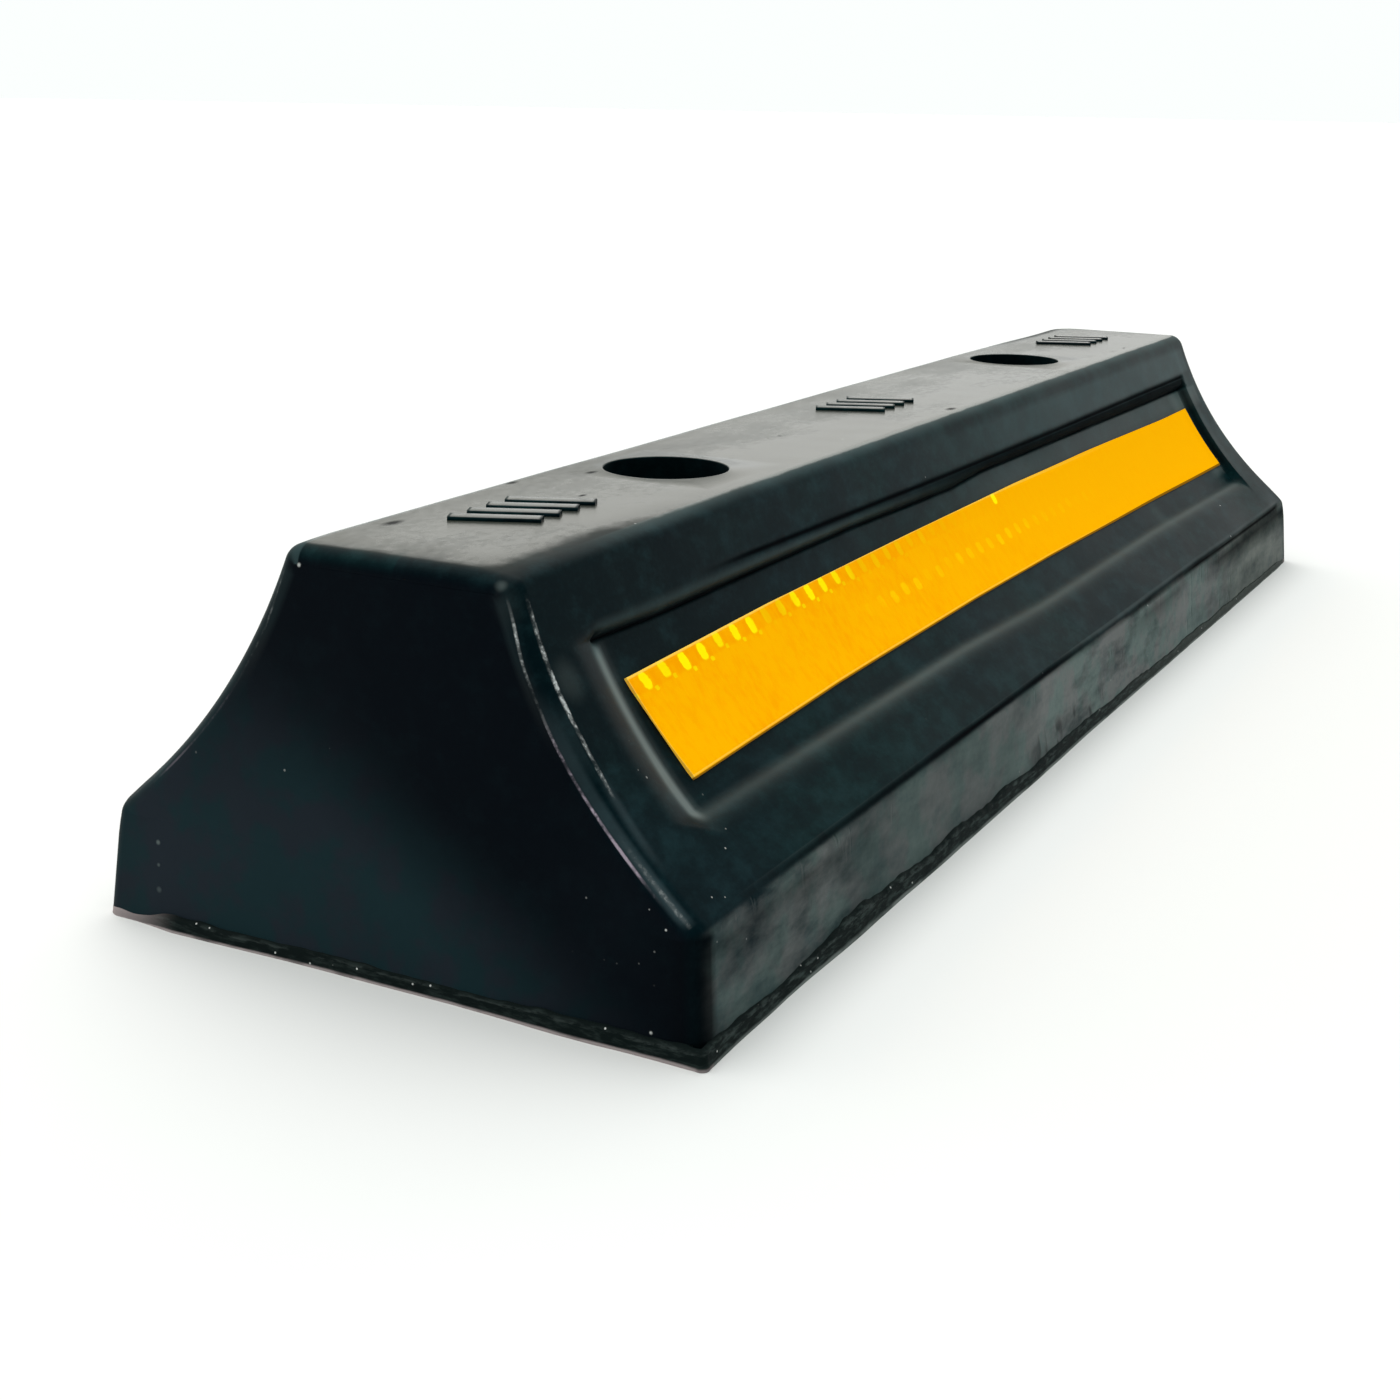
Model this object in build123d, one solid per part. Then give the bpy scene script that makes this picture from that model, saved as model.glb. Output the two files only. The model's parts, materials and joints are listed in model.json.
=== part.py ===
from build123d import *
import os
from math import asin, cos, hypot, radians, sin, sqrt, tan

# Moulded rubber wheel stop, in millimetres.
# X runs along the stop, the front flank faces -Y, Z is up, and the origin is under its middle.

# Rubber block: a low wall, a shoulder, a hollow flank and a flat top, with drafted ends
body_height = 100.0
base_length = 572.0
base_width = 170.0
shoulder_width = 164.6
shoulder_height = 29.3
top_width = 62.0
flank_radius = 147.0
end_draft = 5.8
top_edge_radius = 4.5
shoulder_radius = 5.5
end_edge_radius = 4.0

# Rim of mould flash round the base
flash_overhang = 1.2
flash_thickness = 4.5
flash_corner_radius = 1.5

# Anchor holes: a wide hole for the anchor's head over a narrow one for its shank
anchor_spacing = 290.0
head_hole_diameter = 35.0
head_hole_depth = 65.0
head_hole_lip = 1.2
anchor_hole_diameter = 14.0

# Steel washer at the floor of each head hole, gripped all round by the rubber
washer_thickness = 4.0
washer_grip = 5.0

# Recessed panel along each flank, measured round the flank from the shoulder up
panel_end_wall = 34.0
panel_sill = 20.5
panel_depth = 3.5
panel_corner_radius = 3.0
panel_floor_radius = 1.6
panel_rim_radius = 1.6

# Reflective strip, laid by hand on the panel's floor, nearer to its lower and right-hand edges
strip_width = 29.2
strip_thickness = 0.8
strip_gap_below = 9.2
strip_gap_above = 10.0
strip_gap_left = 10.0
strip_gap_right = 1.7

# Core pockets in the underside, in two rows beside a middle rib, clear of the anchor holes
pocket_length = 46.0
pocket_width = 46.0
pocket_depth = 38.0
pocket_draft = 3.0
pocket_corner_radius = 8.0
pocket_roof_radius = 4.0
middle_rib = 16.0
cross_rib = 12.0
end_wall = 22.0
anchor_column_wall = 12.0

# Sizes worked out from those above
head_floor = body_height - head_hole_depth
washer_diameter = head_hole_diameter + 2 * washer_grip
panel_length = base_length - 2 * panel_end_wall
panel_width = strip_gap_below + strip_width + strip_gap_above
floor_radius = flank_radius + panel_depth
anchor_stations = {"left": -anchor_spacing / 2, "right": anchor_spacing / 2}


def flank_centre():
    """Centre (y, z) of the front flank's arc, which lies outside the block."""
    run = (shoulder_width - top_width) / 2
    rise = body_height - shoulder_height
    chord = hypot(run, rise)
    reach = sqrt(flank_radius**2 - (chord / 2) ** 2)
    middle_y = -(shoulder_width + top_width) / 4
    middle_z = (shoulder_height + body_height) / 2
    return middle_y - reach * rise / chord, middle_z + reach * run / chord


def flank_angle(height):
    """Angle below level, seen from the flank's centre, of the flank's point at a height."""
    return asin((flank_centre()[1] - height) / flank_radius)


def flank_point(radius, angle):
    """Point (y, z) at a radius and an angle from the front flank's centre."""
    centre_y, centre_z = flank_centre()
    return centre_y + radius * cos(angle), centre_z - radius * sin(angle)


def flank_band(inner, outer, low_angle, high_angle, length):
    """Curved bar along X that follows the front flank, between two radii and two angles."""
    mid_angle = (low_angle + high_angle) / 2
    corners = [flank_point(r, a) for r, a in ((inner, high_angle), (outer, high_angle))]
    corners += [flank_point(r, a) for r, a in ((outer, low_angle), (inner, low_angle))]
    outline = [
        Line(corners[0], corners[1]),
        ThreePointArc(corners[1], flank_point(outer, mid_angle), corners[2]),
        Line(corners[2], corners[3]),
        ThreePointArc(corners[3], flank_point(inner, mid_angle), corners[0]),
    ]
    return extrude(Plane.YZ * make_face(outline), length / 2, both=True)


def block_profile():
    """Cross-section of the block, in (y, z)."""
    shoulder_angle = flank_angle(shoulder_height)
    top_angle = flank_angle(body_height)
    mid_y, mid_z = flank_point(flank_radius, (shoulder_angle + top_angle) / 2)
    foot, shoulder, top = base_width / 2, shoulder_width / 2, top_width / 2
    return make_face(
        [
            Line((-foot, 0), (-shoulder, shoulder_height)),
            ThreePointArc((-shoulder, shoulder_height), (mid_y, mid_z), (-top, body_height)),
            Line((-top, body_height), (top, body_height)),
            ThreePointArc((top, body_height), (-mid_y, mid_z), (shoulder, shoulder_height)),
            Line((shoulder, shoulder_height), (foot, 0)),
            Line((foot, 0), (-foot, 0)),
        ]
    )


def block():
    """Rubber block with drafted ends and rounded edges, standing on z = 0."""
    half_base = base_length / 2
    half_top = half_base - body_height * tan(radians(end_draft))
    side_view = make_face(
        Polyline((-half_base, 0), (half_base, 0), (half_top, body_height), (-half_top, body_height), close=True)
    )
    solid = extrude(Plane.YZ * block_profile(), half_base, both=True)
    solid &= extrude(Plane.XZ * side_view, base_width, both=True)
    solid = fillet(solid.edges().filter_by(Axis.X).group_by(Axis.Z)[-1], top_edge_radius)
    shoulders = solid.edges().filter_by(Axis.X).filter_by_position(Axis.Z, 0, shoulder_height, (False, True))
    solid = fillet(shoulders, shoulder_radius)
    ends = solid.faces().sort_by(Axis.X)
    end_edges = ends[0].edges() + ends[-1].edges()
    return fillet(end_edges.filter_by(lambda edge: edge.center().Z > flash_thickness), end_edge_radius)


def flash_rim():
    """Lip of mould flash that stands out all round the foot of the block."""
    length = base_length + 2 * flash_overhang
    width = base_width + 2 * flash_overhang
    return extrude(RectangleRounded(length, width, flash_corner_radius), flash_thickness)


def upright(diameter, height, bottom):
    """Upright cylinder on the origin's axis, from a height up."""
    return Pos(0, 0, bottom) * Cylinder(diameter / 2, height, align=(Align.CENTER, Align.CENTER, Align.MIN))


def anchor_hole():
    """Space for one anchor: head hole, washer seat and shank hole."""
    head = upright(head_hole_diameter, head_hole_depth, head_floor)
    seat = upright(washer_diameter, washer_thickness, head_floor - washer_thickness)
    return head + seat + upright(anchor_hole_diameter, head_floor, 0)


def anchor_washer():
    """Flat steel washer, on the origin's axis at its height in the block."""
    bottom = head_floor - washer_thickness
    disc = upright(washer_diameter, washer_thickness, bottom)
    return disc - upright(anchor_hole_diameter, washer_thickness, bottom)


def panel_low_angle():
    """Angle of the panel's lower edge."""
    return flank_angle(shoulder_height) - panel_sill / flank_radius


def panel_cut():
    """Space of the front flank's panel, with rounded corners and a rounded edge to its floor."""
    low = panel_low_angle()
    cut = flank_band(flank_radius - panel_depth, floor_radius, low, low - panel_width / flank_radius, panel_length)
    corners = cut.edges().filter_by(GeomType.LINE).filter_by(Axis.X, reverse=True)
    cut = fillet(corners, panel_corner_radius)
    floor = cut.faces().filter_by(GeomType.CYLINDER).sort_by(lambda face: face.radius)[-1]
    return fillet(floor.edges(), panel_floor_radius)


def reflective_strip():
    """Strip on the floor of the front flank's panel."""
    low = panel_low_angle() - strip_gap_below / floor_radius
    high = low - strip_width / floor_radius
    length = panel_length - strip_gap_left - strip_gap_right
    strip = flank_band(floor_radius - strip_thickness, floor_radius, low, high, length)
    return Pos((strip_gap_left - strip_gap_right) / 2, 0, 0) * strip


def pocket_stations():
    """X of each core pocket: as many as fit between the anchor columns and out to the end walls."""
    column_radius = washer_diameter / 2 + anchor_column_wall
    column_inner = anchor_spacing / 2 - column_radius
    column_outer = anchor_spacing / 2 + column_radius
    end = base_length / 2 - end_wall
    stations = []
    for start, stop in ((-end, -column_outer), (-column_inner, column_inner), (column_outer, end)):
        count = int((stop - start + cross_rib) // (pocket_length + cross_rib))
        bay = (stop - start) / max(count, 1)
        stations += [start + bay * (i + 0.5) for i in range(count)]
    return stations


def core_pocket():
    """One core pocket, open at z = 0, with drafted walls and a rounded roof."""
    pocket = extrude(
        RectangleRounded(pocket_length, pocket_width, pocket_corner_radius), pocket_depth, taper=pocket_draft
    )
    return fillet(pocket.faces().sort_by(Axis.Z)[-1].edges(), pocket_roof_radius)


def rubber_body():
    """The whole moulding."""
    body = block() + flash_rim()
    row = (middle_rib + pocket_width) / 2
    body -= [Pos(x, y, 0) * core_pocket() for x in pocket_stations() for y in (-row, row)]
    body -= [panel_cut(), Rot(Z=180) * panel_cut()]
    flanks = body.faces().filter_by(GeomType.CYLINDER).filter_by(lambda face: abs(face.radius - flank_radius) < 1e-6)
    rims = [edge for flank in flanks for wire in flank.inner_wires() for edge in wire.edges()]
    body = fillet(rims, panel_rim_radius)
    body -= [Pos(x, 0, 0) * anchor_hole() for x in anchor_stations.values()]
    mouths = body.edges().filter_by(GeomType.CIRCLE).group_by(Axis.Z)[-1]
    return fillet(mouths, head_hole_lip)


nodes = {
    "rubber_body": rubber_body(),
    "front_reflective_strip": reflective_strip(),
    "rear_reflective_strip": Rot(Z=180) * reflective_strip(),
}
for side, station in anchor_stations.items():
    nodes[f"{side}_anchor_washer"] = Pos(station, 0, 0) * anchor_washer()

os.makedirs("parts", exist_ok=True)
for name, shape in nodes.items():
    shape.label = name
    export_step(shape, f"parts/{name}.step")
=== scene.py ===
"""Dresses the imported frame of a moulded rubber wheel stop.

The frame gives the block's box, its anchor holes and the places of its strips. Sizes are in
millimetres, and a mesh is turned to metres when it is made.
"""
import json
import logging
from dataclasses import dataclass
from enum import Enum
from math import acos, asin, atan2, ceil, cos, exp, hypot, pi, radians, sin, sqrt, tan
from typing import Any, NamedTuple, Sequence, Union

import bmesh
import bpy
from mathutils import Matrix, Vector, noise


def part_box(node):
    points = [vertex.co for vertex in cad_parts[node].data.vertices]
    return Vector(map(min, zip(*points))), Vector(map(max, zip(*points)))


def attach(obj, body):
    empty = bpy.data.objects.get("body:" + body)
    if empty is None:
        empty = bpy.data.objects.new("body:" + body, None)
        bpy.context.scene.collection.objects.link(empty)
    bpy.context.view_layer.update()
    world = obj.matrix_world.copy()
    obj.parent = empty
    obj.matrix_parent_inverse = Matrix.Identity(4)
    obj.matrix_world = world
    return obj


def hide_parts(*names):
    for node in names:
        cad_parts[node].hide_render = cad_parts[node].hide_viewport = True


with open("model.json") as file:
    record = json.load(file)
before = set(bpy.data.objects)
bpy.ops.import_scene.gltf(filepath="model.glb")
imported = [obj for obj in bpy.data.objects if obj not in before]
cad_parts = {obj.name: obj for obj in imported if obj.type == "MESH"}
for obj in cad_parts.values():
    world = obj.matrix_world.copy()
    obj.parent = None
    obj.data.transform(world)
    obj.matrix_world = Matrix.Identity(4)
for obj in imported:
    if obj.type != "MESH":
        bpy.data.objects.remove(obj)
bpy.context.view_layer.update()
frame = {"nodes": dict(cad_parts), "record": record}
LOG = logging.getLogger("wheel_stop")
MM = 0.001
ROOT = "root"
OFF_FLANK = -99.0
BEFORE_EDGE = -90.0
PAST_EDGE = 30.0
Triple = tuple[float, float, float]
Colour = Triple
Table = tuple[tuple[float, float], ...]
Value = Union["Signal", float, Sequence[float]]


class Slot(Enum):
    """Material slots of the record."""

    RUBBER = "black_rubber"
    FILM = "amber_reflective_film"


class Side(Enum):
    """The stop's two long sides, by the half turn that takes the front one there."""

    FRONT = 1
    REAR = -1


class Zone(Enum):
    """Stretches of the block's outline, from the floor up."""

    WALL = "wall"
    SHOULDER = "shoulder"
    FLANK = "flank"
    EDGE = "edge"
    TOP = "top"


def ease(value: float, low: float, high: float) -> float:
    """Smooth step from 0 at low to 1 at high.

    Args:
        value: Number to place between the two.
        low: Where the step starts.
        high: Where the step ends.

    Returns:
        A number from 0 to 1.
    """
    share = min(1.0, max(0.0, (value - low) / (high - low)))
    return share * share * (3.0 - 2.0 * share)


def along(value: float, table: Table) -> float:
    """Reads a short table of places and values, with straight runs between its rows.

    Args:
        value: Place to read at.
        table: Rows of place and value, in rising order of place.

    Returns:
        The value there, or the nearest end's value outside the table.
    """
    if value <= table[0][0]:
        return table[0][1]
    for (left, first), (right, second) in zip(table, table[1:]):
        if value <= right:
            return first + (second - first) * (value - left) / (right - left)
    return table[-1][1]


def rolled(value: float, table: Table) -> float:
    """Height gained on the way to a place, from a short table of places and slopes.

    Args:
        value: Place to read at.
        table: Rows of place and slope, in rising order of place, with straight runs between.

    Returns:
        The height above the table's first row.
    """
    height = 0.0
    for (left, first), (right, second) in zip(table, table[1:]):
        share = min(1.0, max(0.0, (value - left) / (right - left)))
        height += (right - left) * share * (first + 0.5 * (second - first) * share)
    return height


def hump(value: float, middle: float, half: float) -> float:
    """Smooth hill from 0 to 1, at its top at the middle and at about a third of it half away."""
    return exp(-(((value - middle) / half) ** 2))


def spread(start: float, stop: float, step: float) -> list[float]:
    """Even places from start up to, but without, stop, no further apart than step."""
    count = max(1, ceil((stop - start) / step))
    return [start + (stop - start) * i / count for i in range(count)]


def ripple(place: Vector, length: float, seed: float) -> float:
    """Soft random height from about -1 to 1.

    Args:
        place: Point in millimetres.
        length: Rough length of one wave.
        seed: Number that sets one pattern apart from another.

    Returns:
        The height there, the same in each run.
    """
    return noise.noise(place / length + Vector((seed, 2.3 * seed, 5.1 * seed)))


class Signal:
    """One output socket of a node graph, with operators that add Math nodes."""

    def __init__(self, graph: "Graph", socket: bpy.types.NodeSocket) -> None:
        """Keeps the socket and the graph that it belongs to."""
        self.graph = graph
        self.socket = socket

    def other(self, name: str) -> "Signal":
        """Another output of the same node."""
        return Signal(self.graph, self.socket.node.outputs[name])

    def math(self, operation: str, *values: Value) -> "Signal":
        """Adds one Math node on the values given."""
        return self.graph.node("ShaderNodeMath", {"operation": operation}, dict(enumerate(values)))

    def __add__(self, other: Value) -> "Signal":
        """Sum."""
        return self.math("ADD", self, other)

    def __radd__(self, other: Value) -> "Signal":
        """Sum with a number on the left."""
        return self.math("ADD", other, self)

    def __sub__(self, other: Value) -> "Signal":
        """Difference."""
        return self.math("SUBTRACT", self, other)

    def __rsub__(self, other: Value) -> "Signal":
        """Difference from a number on the left."""
        return self.math("SUBTRACT", other, self)

    def __mul__(self, other: Value) -> "Signal":
        """Product."""
        return self.math("MULTIPLY", self, other)

    def __rmul__(self, other: Value) -> "Signal":
        """Product with a number on the left."""
        return self.math("MULTIPLY", other, self)

    def __truediv__(self, other: Value) -> "Signal":
        """Quotient."""
        return self.math("DIVIDE", self, other)

    def __pow__(self, other: Value) -> "Signal":
        """Power."""
        return self.math("POWER", self, other)

    def __abs__(self) -> "Signal":
        """Size without its sign."""
        return self.math("ABSOLUTE", self)

    def sign(self) -> "Signal":
        """-1, 0 or 1, by its sign."""
        return self.math("SIGN", self)

    def root(self) -> "Signal":
        """Square root."""
        return self.math("SQRT", self)

    def whole(self) -> "Signal":
        """Whole part below."""
        return self.math("FLOOR", self)

    def part(self) -> "Signal":
        """Part above the whole number below."""
        return self.math("FRACT", self)

    def at_least(self, other: Value) -> "Signal":
        """The larger of the two."""
        return self.math("MAXIMUM", self, other)

    def held(self) -> "Signal":
        """Held between 0 and 1."""
        return self.graph.node("ShaderNodeClamp", None, {"Value": self})

    def step(self, low: float, high: float, first: float, last: float) -> "Signal":
        """Smooth step, from first at low to last at high."""
        sockets = {"Value": self, "From Min": low, "From Max": high, "To Min": first, "To Max": last}
        return self.graph.node("ShaderNodeMapRange", {"interpolation_type": "SMOOTHSTEP"}, sockets)

    def rise(self, low: float, high: float) -> "Signal":
        """Smooth step from 0 at low to 1 at high."""
        return self.step(low, high, 0.0, 1.0)

    def fall(self, low: float, high: float) -> "Signal":
        """Smooth step from 1 at low to 0 at high."""
        return self.step(low, high, 1.0, 0.0)

    def near(self, middle: Value, inner: float, outer: float) -> "Signal":
        """1 within inner of a middle, and 0 from outer on."""
        return abs(self - middle).fall(inner, outer)


class Graph:
    """Adds nodes to one tree, of a material, a world or a geometry group."""

    def __init__(self, tree: bpy.types.NodeTree) -> None:
        """Starts from an empty tree."""
        self.tree = tree
        tree.nodes.clear()

    def put(self, socket: bpy.types.NodeSocket, value: Any) -> None:
        """Links a signal to a socket, or sets a plain value on it.

        Args:
            socket: Input of a node.
            value: Signal or plain value.
        """
        if isinstance(value, Signal):
            self.tree.links.new(value.socket, socket)
        elif socket.type == "RGBA" and len(value) == 3:
            socket.default_value = (*value, 1.0)
        else:
            socket.default_value = value

    def node(
        self,
        kind: str,
        settings: dict[str, Any] | None = None,
        sockets: dict[str | int, Any] | None = None,
        output: str | int = 0,
    ) -> Signal | None:
        """Adds one node of any type.

        Args:
            kind: Blender's name of the node type.
            settings: Properties of the node, set first.
            sockets: Values or signals for its inputs, by name or number.
            output: The output wanted.

        Returns:
            That output, or None on a node that has none.
        """
        made = self.tree.nodes.new(kind)
        for name, value in (settings or {}).items():
            setattr(made, name, value)
        for key, value in (sockets or {}).items():
            self.put(made.inputs[key], value)
        return Signal(self, made.outputs[output]) if len(made.outputs) else None

    def mix(self, factor: Value, first: Value, second: Value) -> Signal:
        """Blend of two colours, first at 0 and second at 1."""
        return self.node("ShaderNodeMix", {"data_type": "RGBA"}, {0: factor, 6: first, 7: second}, 2)

    def stretched(self, place: Signal, scale: Triple, turn: Triple = (0.0, 0.0, 0.0)) -> Signal:
        """Coordinates scaled, and turned, by a Mapping node."""
        return self.node("ShaderNodeMapping", None, {"Vector": place, "Scale": scale, "Rotation": turn})

    def grain(self, place: Signal, scale: float, detail: float = 3.0, rough: float = 0.55) -> Signal:
        """Noise from 0 to 1 on the coordinates given."""
        sockets = {"Vector": place, "Scale": scale, "Detail": detail, "Roughness": rough}
        return self.node("ShaderNodeTexNoise", None, sockets)

    def streaks(
        self, place: Signal, scale: Triple, detail: float, rough: float = 0.55, turn: Triple = (0.0, 0.0, 0.0)
    ) -> Signal:
        """Noise from 0 to 1, with a scale of its own along each axis."""
        return self.grain(self.stretched(place, scale, turn), 1.0, detail, rough)

    def place(self) -> Signal:
        """Object coordinates, in metres."""
        return self.node("ShaderNodeTexCoord", None, None, "Object")

    def dots(self, place: Signal, scale: float, size: float, share: float) -> Signal:
        """Small round spots, one in some of the cells of a random pattern.

        Args:
            place: Coordinates.
            scale: Cells in one unit.
            size: Radius of a spot, as a share of a cell.
            share: Share of the cells that have a spot.

        Returns:
            1 in a spot and 0 elsewhere.
        """
        near = self.node("ShaderNodeTexVoronoi", None, {"Vector": place, "Scale": scale}, "Distance")
        pick = self.split(near.other("Color"))[0]
        return near.fall(0.6 * size, size) * pick.rise(1.0 - share, 1.02 - share)

    def split(self, vector: Signal) -> tuple[Signal, Signal, Signal]:
        """The three parts of a vector."""
        first = self.node("ShaderNodeSeparateXYZ", None, {"Vector": vector}, "X")
        return first, first.other("Y"), first.other("Z")

    def mark(self, name: str) -> Signal:
        """A number that the piece's mesh carries on its points."""
        return self.node("ShaderNodeAttribute", {"attribute_name": name}, None, "Fac")

    def spot(self, place: Signal, centre: Triple, radius: float) -> Signal:
        """Soft round spot about a point.

        Args:
            place: Object coordinates.
            centre: The point, in millimetres.
            radius: Where the spot has faded out, in millimetres.

        Returns:
            1 at the point, falling to 0.
        """
        middle = tuple(c * MM for c in centre)
        gap = self.node("ShaderNodeVectorMath", {"operation": "DISTANCE"}, {0: place, 1: middle}, "Value")
        return gap.fall(0.15 * radius * MM, radius * MM)

    def bump(self, height: Value, strength: float, distance: float, under: Signal | None = None) -> Signal:
        """Surface direction tilted by a height.

        Args:
            height: Height from 0 to 1.
            strength: Share of the effect.
            distance: Height of 1, in metres.
            under: Another tilted direction to start from.

        Returns:
            The tilted direction.
        """
        sockets = {"Height": height, "Strength": strength, "Distance": distance}
        if under is not None:
            sockets["Normal"] = under
        return self.node("ShaderNodeBump", None, sockets)

    def surface(self, sockets: dict[str, Any]) -> None:
        """Adds a Principled shader with the inputs given, and the material's output."""
        shader = self.node("ShaderNodeBsdfPrincipled", None, sockets)
        self.node("ShaderNodeOutputMaterial", None, {"Surface": shader})


def material_graph(name: str) -> tuple[bpy.types.Material, Graph]:
    """Starts a material.

    Args:
        name: Name of the material.

    Returns:
        The material and its empty graph.
    """
    made = bpy.data.materials.new(name)
    made.use_nodes = True
    return made, Graph(made.node_tree)


def seen_along(x: Signal, y: Signal) -> Signal:
    """Place along a long side in metres, from left to right for a viewer in front of that side."""
    return 0.0 - x * y.sign()


class Marks(NamedTuple):
    """Numbers that the block's points carry, each from 0 to 1 apart from arc, which is in millimetres."""

    top: Any
    wall: Any
    arc: Any
    flank: Any
    rub: Any
    groove: Any
    end: Any


@dataclass(frozen=True)
class RubberFinish:
    """Moulded black rubber: mottled, smoky on the walls, polished on top, worn along its end edges, with
    painted light and shade.
    """

    name: str = "moulded_black_rubber"
    teal: Colour = (0.0016, 0.0150, 0.0166)
    violet: Colour = (0.0022, 0.0112, 0.0150)
    # Painted reflection of the floor, low on the end faces
    end_teal: Colour = (0.0090, 0.0245, 0.0300)
    end_violet: Colour = (0.0150, 0.0205, 0.0285)
    # Painted shade on the end faces and high up towards the near end of each side
    night: Colour = (0.0012, 0.0018, 0.0042)
    # Painted shade in grooves, corners, the holes and under the shoulder, and the dark of nicks and scored
    # marks
    pit: Colour = (0.0012, 0.0010, 0.0018)
    # Smoke on the walls, with a painted reflection of the floor in it
    smoke_green: Colour = (0.133, 0.176, 0.166)
    smoke_brown: Colour = (0.164, 0.170, 0.168)
    smoke_far: Colour = (0.158, 0.172, 0.156)
    dust: Colour = (0.050, 0.053, 0.042)
    # Pale of painted highlights, dust and scuffs
    rubbed: Colour = (0.150, 0.182, 0.178)
    rubbed_high: Colour = (0.112, 0.186, 0.194)
    haze: Colour = (0.014, 0.046, 0.054)
    deep: Colour = (0.0004, 0.0050, 0.0075)
    # Pink and white of the edge lines: wear with painted highlights
    worn_pink: Colour = (0.40, 0.33, 0.40)
    worn: Colour = (0.58, 0.60, 0.60)
    sheen: Colour = (0.070, 0.105, 0.118)
    fleck: Colour = (0.60, 0.60, 0.58)
    crumbs: tuple[tuple[Triple, float], ...] = (
        ((-276.2, 26.2, 95.0), 0.70),
        ((-283.1, -74.3, 28.9), 0.40),
        ((-285.5, -72.2, 5.3), 0.55),
    )
    speckled: Triple = (-264.0, -68.0, 38.0)
    speckled_radius: float = 34.0
    tint: Colour = (0.58, 0.97, 1.0)
    index: float = 1.11
    roughness: float = 0.40
    coat_index: float = 1.5
    coat_roughness: float = 0.22
    # Scuffs and specks, with painted highlights by the near top corner
    scuffs: tuple[tuple[Triple, float, float], ...] = (
        ((-276.5, -28.5, 98.0), 2.8, 0.75),
        ((-281.0, -32.9, 94.6), 9.0, 0.10),
        ((-269.0, -41.8, 76.0), 7.0, 0.12),
        ((145.0, -64.0, 44.5), 9.0, 0.10),
        ((-283.8, 68.0, 21.5), 0.9, 0.70),
        ((-284.5, 67.8, 15.8), 0.7, 0.45),
        ((-285.0, 67.6, 9.5), 1.1, 0.30),
    )
    nicks: tuple[tuple[float, float, float], ...] = (
        (-246.5, 21.6, 2.4), (-193.0, 1.0, 1.1), (-188.0, 26.0, 1.6), (3.5, -24.7, 2.2), (-163.5, 16.0, 1.6),
    )
    nick_squeeze: float = 0.45
    nick_height: float = 100.0
    end_arc: float = 5.2
    flank_arc: float = 0.6
    sheen_off: float = 1.6

    def edge_wear(self, graph: Graph, place: Signal, marks: Marks, colour: Signal) -> Signal:
        """Pale broken lines of wear and painted highlight, and a painted sheen, along the end edges of the
        flanks.

        Args:
            graph: Graph of the material.
            place: Object coordinates.
            marks: The points' numbers.
            colour: Colour of the rubber.

        Returns:
            The colour with the wear and the painted highlights on it.
        """
        height = graph.split(place)[2]
        arc = marks.arc
        foot = height.rise(0.0285, 0.0315)
        upper = height.fall(0.090, 0.096)
        broken = graph.grain(place, 420.0).rise(0.40, 0.62) * graph.grain(place, 60.0, 2.0).rise(0.30, 0.56)
        sparkle = graph.grain(place, 950.0, 2.0).rise(0.48, 0.64)
        # Line beside the end face, pink low down and white high up: wear with a painted highlight
        line = self.end_arc + 1.1 * height.fall(0.078, 0.092) - 1.2 * height.fall(0.036, 0.066)
        end_line = arc.near(line, 0.08, 0.50) * height.rise(0.033, 0.046) * upper
        end_line = end_line * (1.0 - 0.6 * height.near(0.073, 0.002, 0.010))
        patchy = 0.37 * height.fall(0.045, 0.068) + 0.18 * height.rise(0.076, 0.084) + 0.66 * broken
        patchy = 0.03 + patchy * (0.5 + 0.7 * sparkle)
        end_line = end_line * (patchy + 1.2 * height.near(0.0425, 0.0, 0.006))
        end_line_colour = graph.mix(height.rise(0.062, 0.074), self.worn_pink, self.worn)
        # Glittering line beside the flank: wear with a painted highlight
        flank_arc = self.flank_arc - 1.1 * height.fall(0.058, 0.080)
        flank_line = arc.near(flank_arc, 0.18, 0.90) * height.rise(0.052, 0.067) * upper
        glitter = 1.9 * (0.06 + broken) * (0.45 + sparkle)
        flank_line = flank_line * (0.45 + 0.55 * height.fall(0.080, 0.086)) * glitter
        # Soft sheen between the two lines, with a brighter core at the shoulder
        beside = abs(arc - line + self.sheen_off)
        band = beside.fall(0.6, 2.2) * foot * height.fall(0.034, 0.080)
        core = beside.fall(0.1, 0.8) * foot * height.fall(0.034, 0.048) * (0.10 + 0.20 * sparkle)
        between = arc.rise(0.2, 1.2) * (line - arc).rise(0.0, 0.5)
        between = between * height.rise(0.055, 0.063) * height.fall(0.067, 0.076)
        wide_sheen = arc.near(flank_arc, 0.3, 2.4) * height.near(0.049, 0.003, 0.011)
        soft = 0.42 * band + 0.12 * between + 0.26 * wide_sheen
        colour = graph.mix((marks.flank * soft).held(), colour, self.sheen)
        colour = graph.mix((marks.flank * end_line).held(), colour, end_line_colour)
        return graph.mix((marks.flank * (flank_line + core)).held(), colour, self.worn)

    def end_tone(self, graph: Graph, place: Signal, mottle: Signal, cloud: Signal) -> Signal:
        """Colour of an end face: painted shade, lifted towards its lower rear corner by a painted reflection
        of the floor.

        Args:
            graph: Graph of the material.
            place: Object coordinates.
            mottle: Broad noise, which makes the lift uneven.
            cloud: Finer noise, which parts the lift's two shades.

        Returns:
            The colour.
        """
        _, y, height = graph.split(place)
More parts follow.
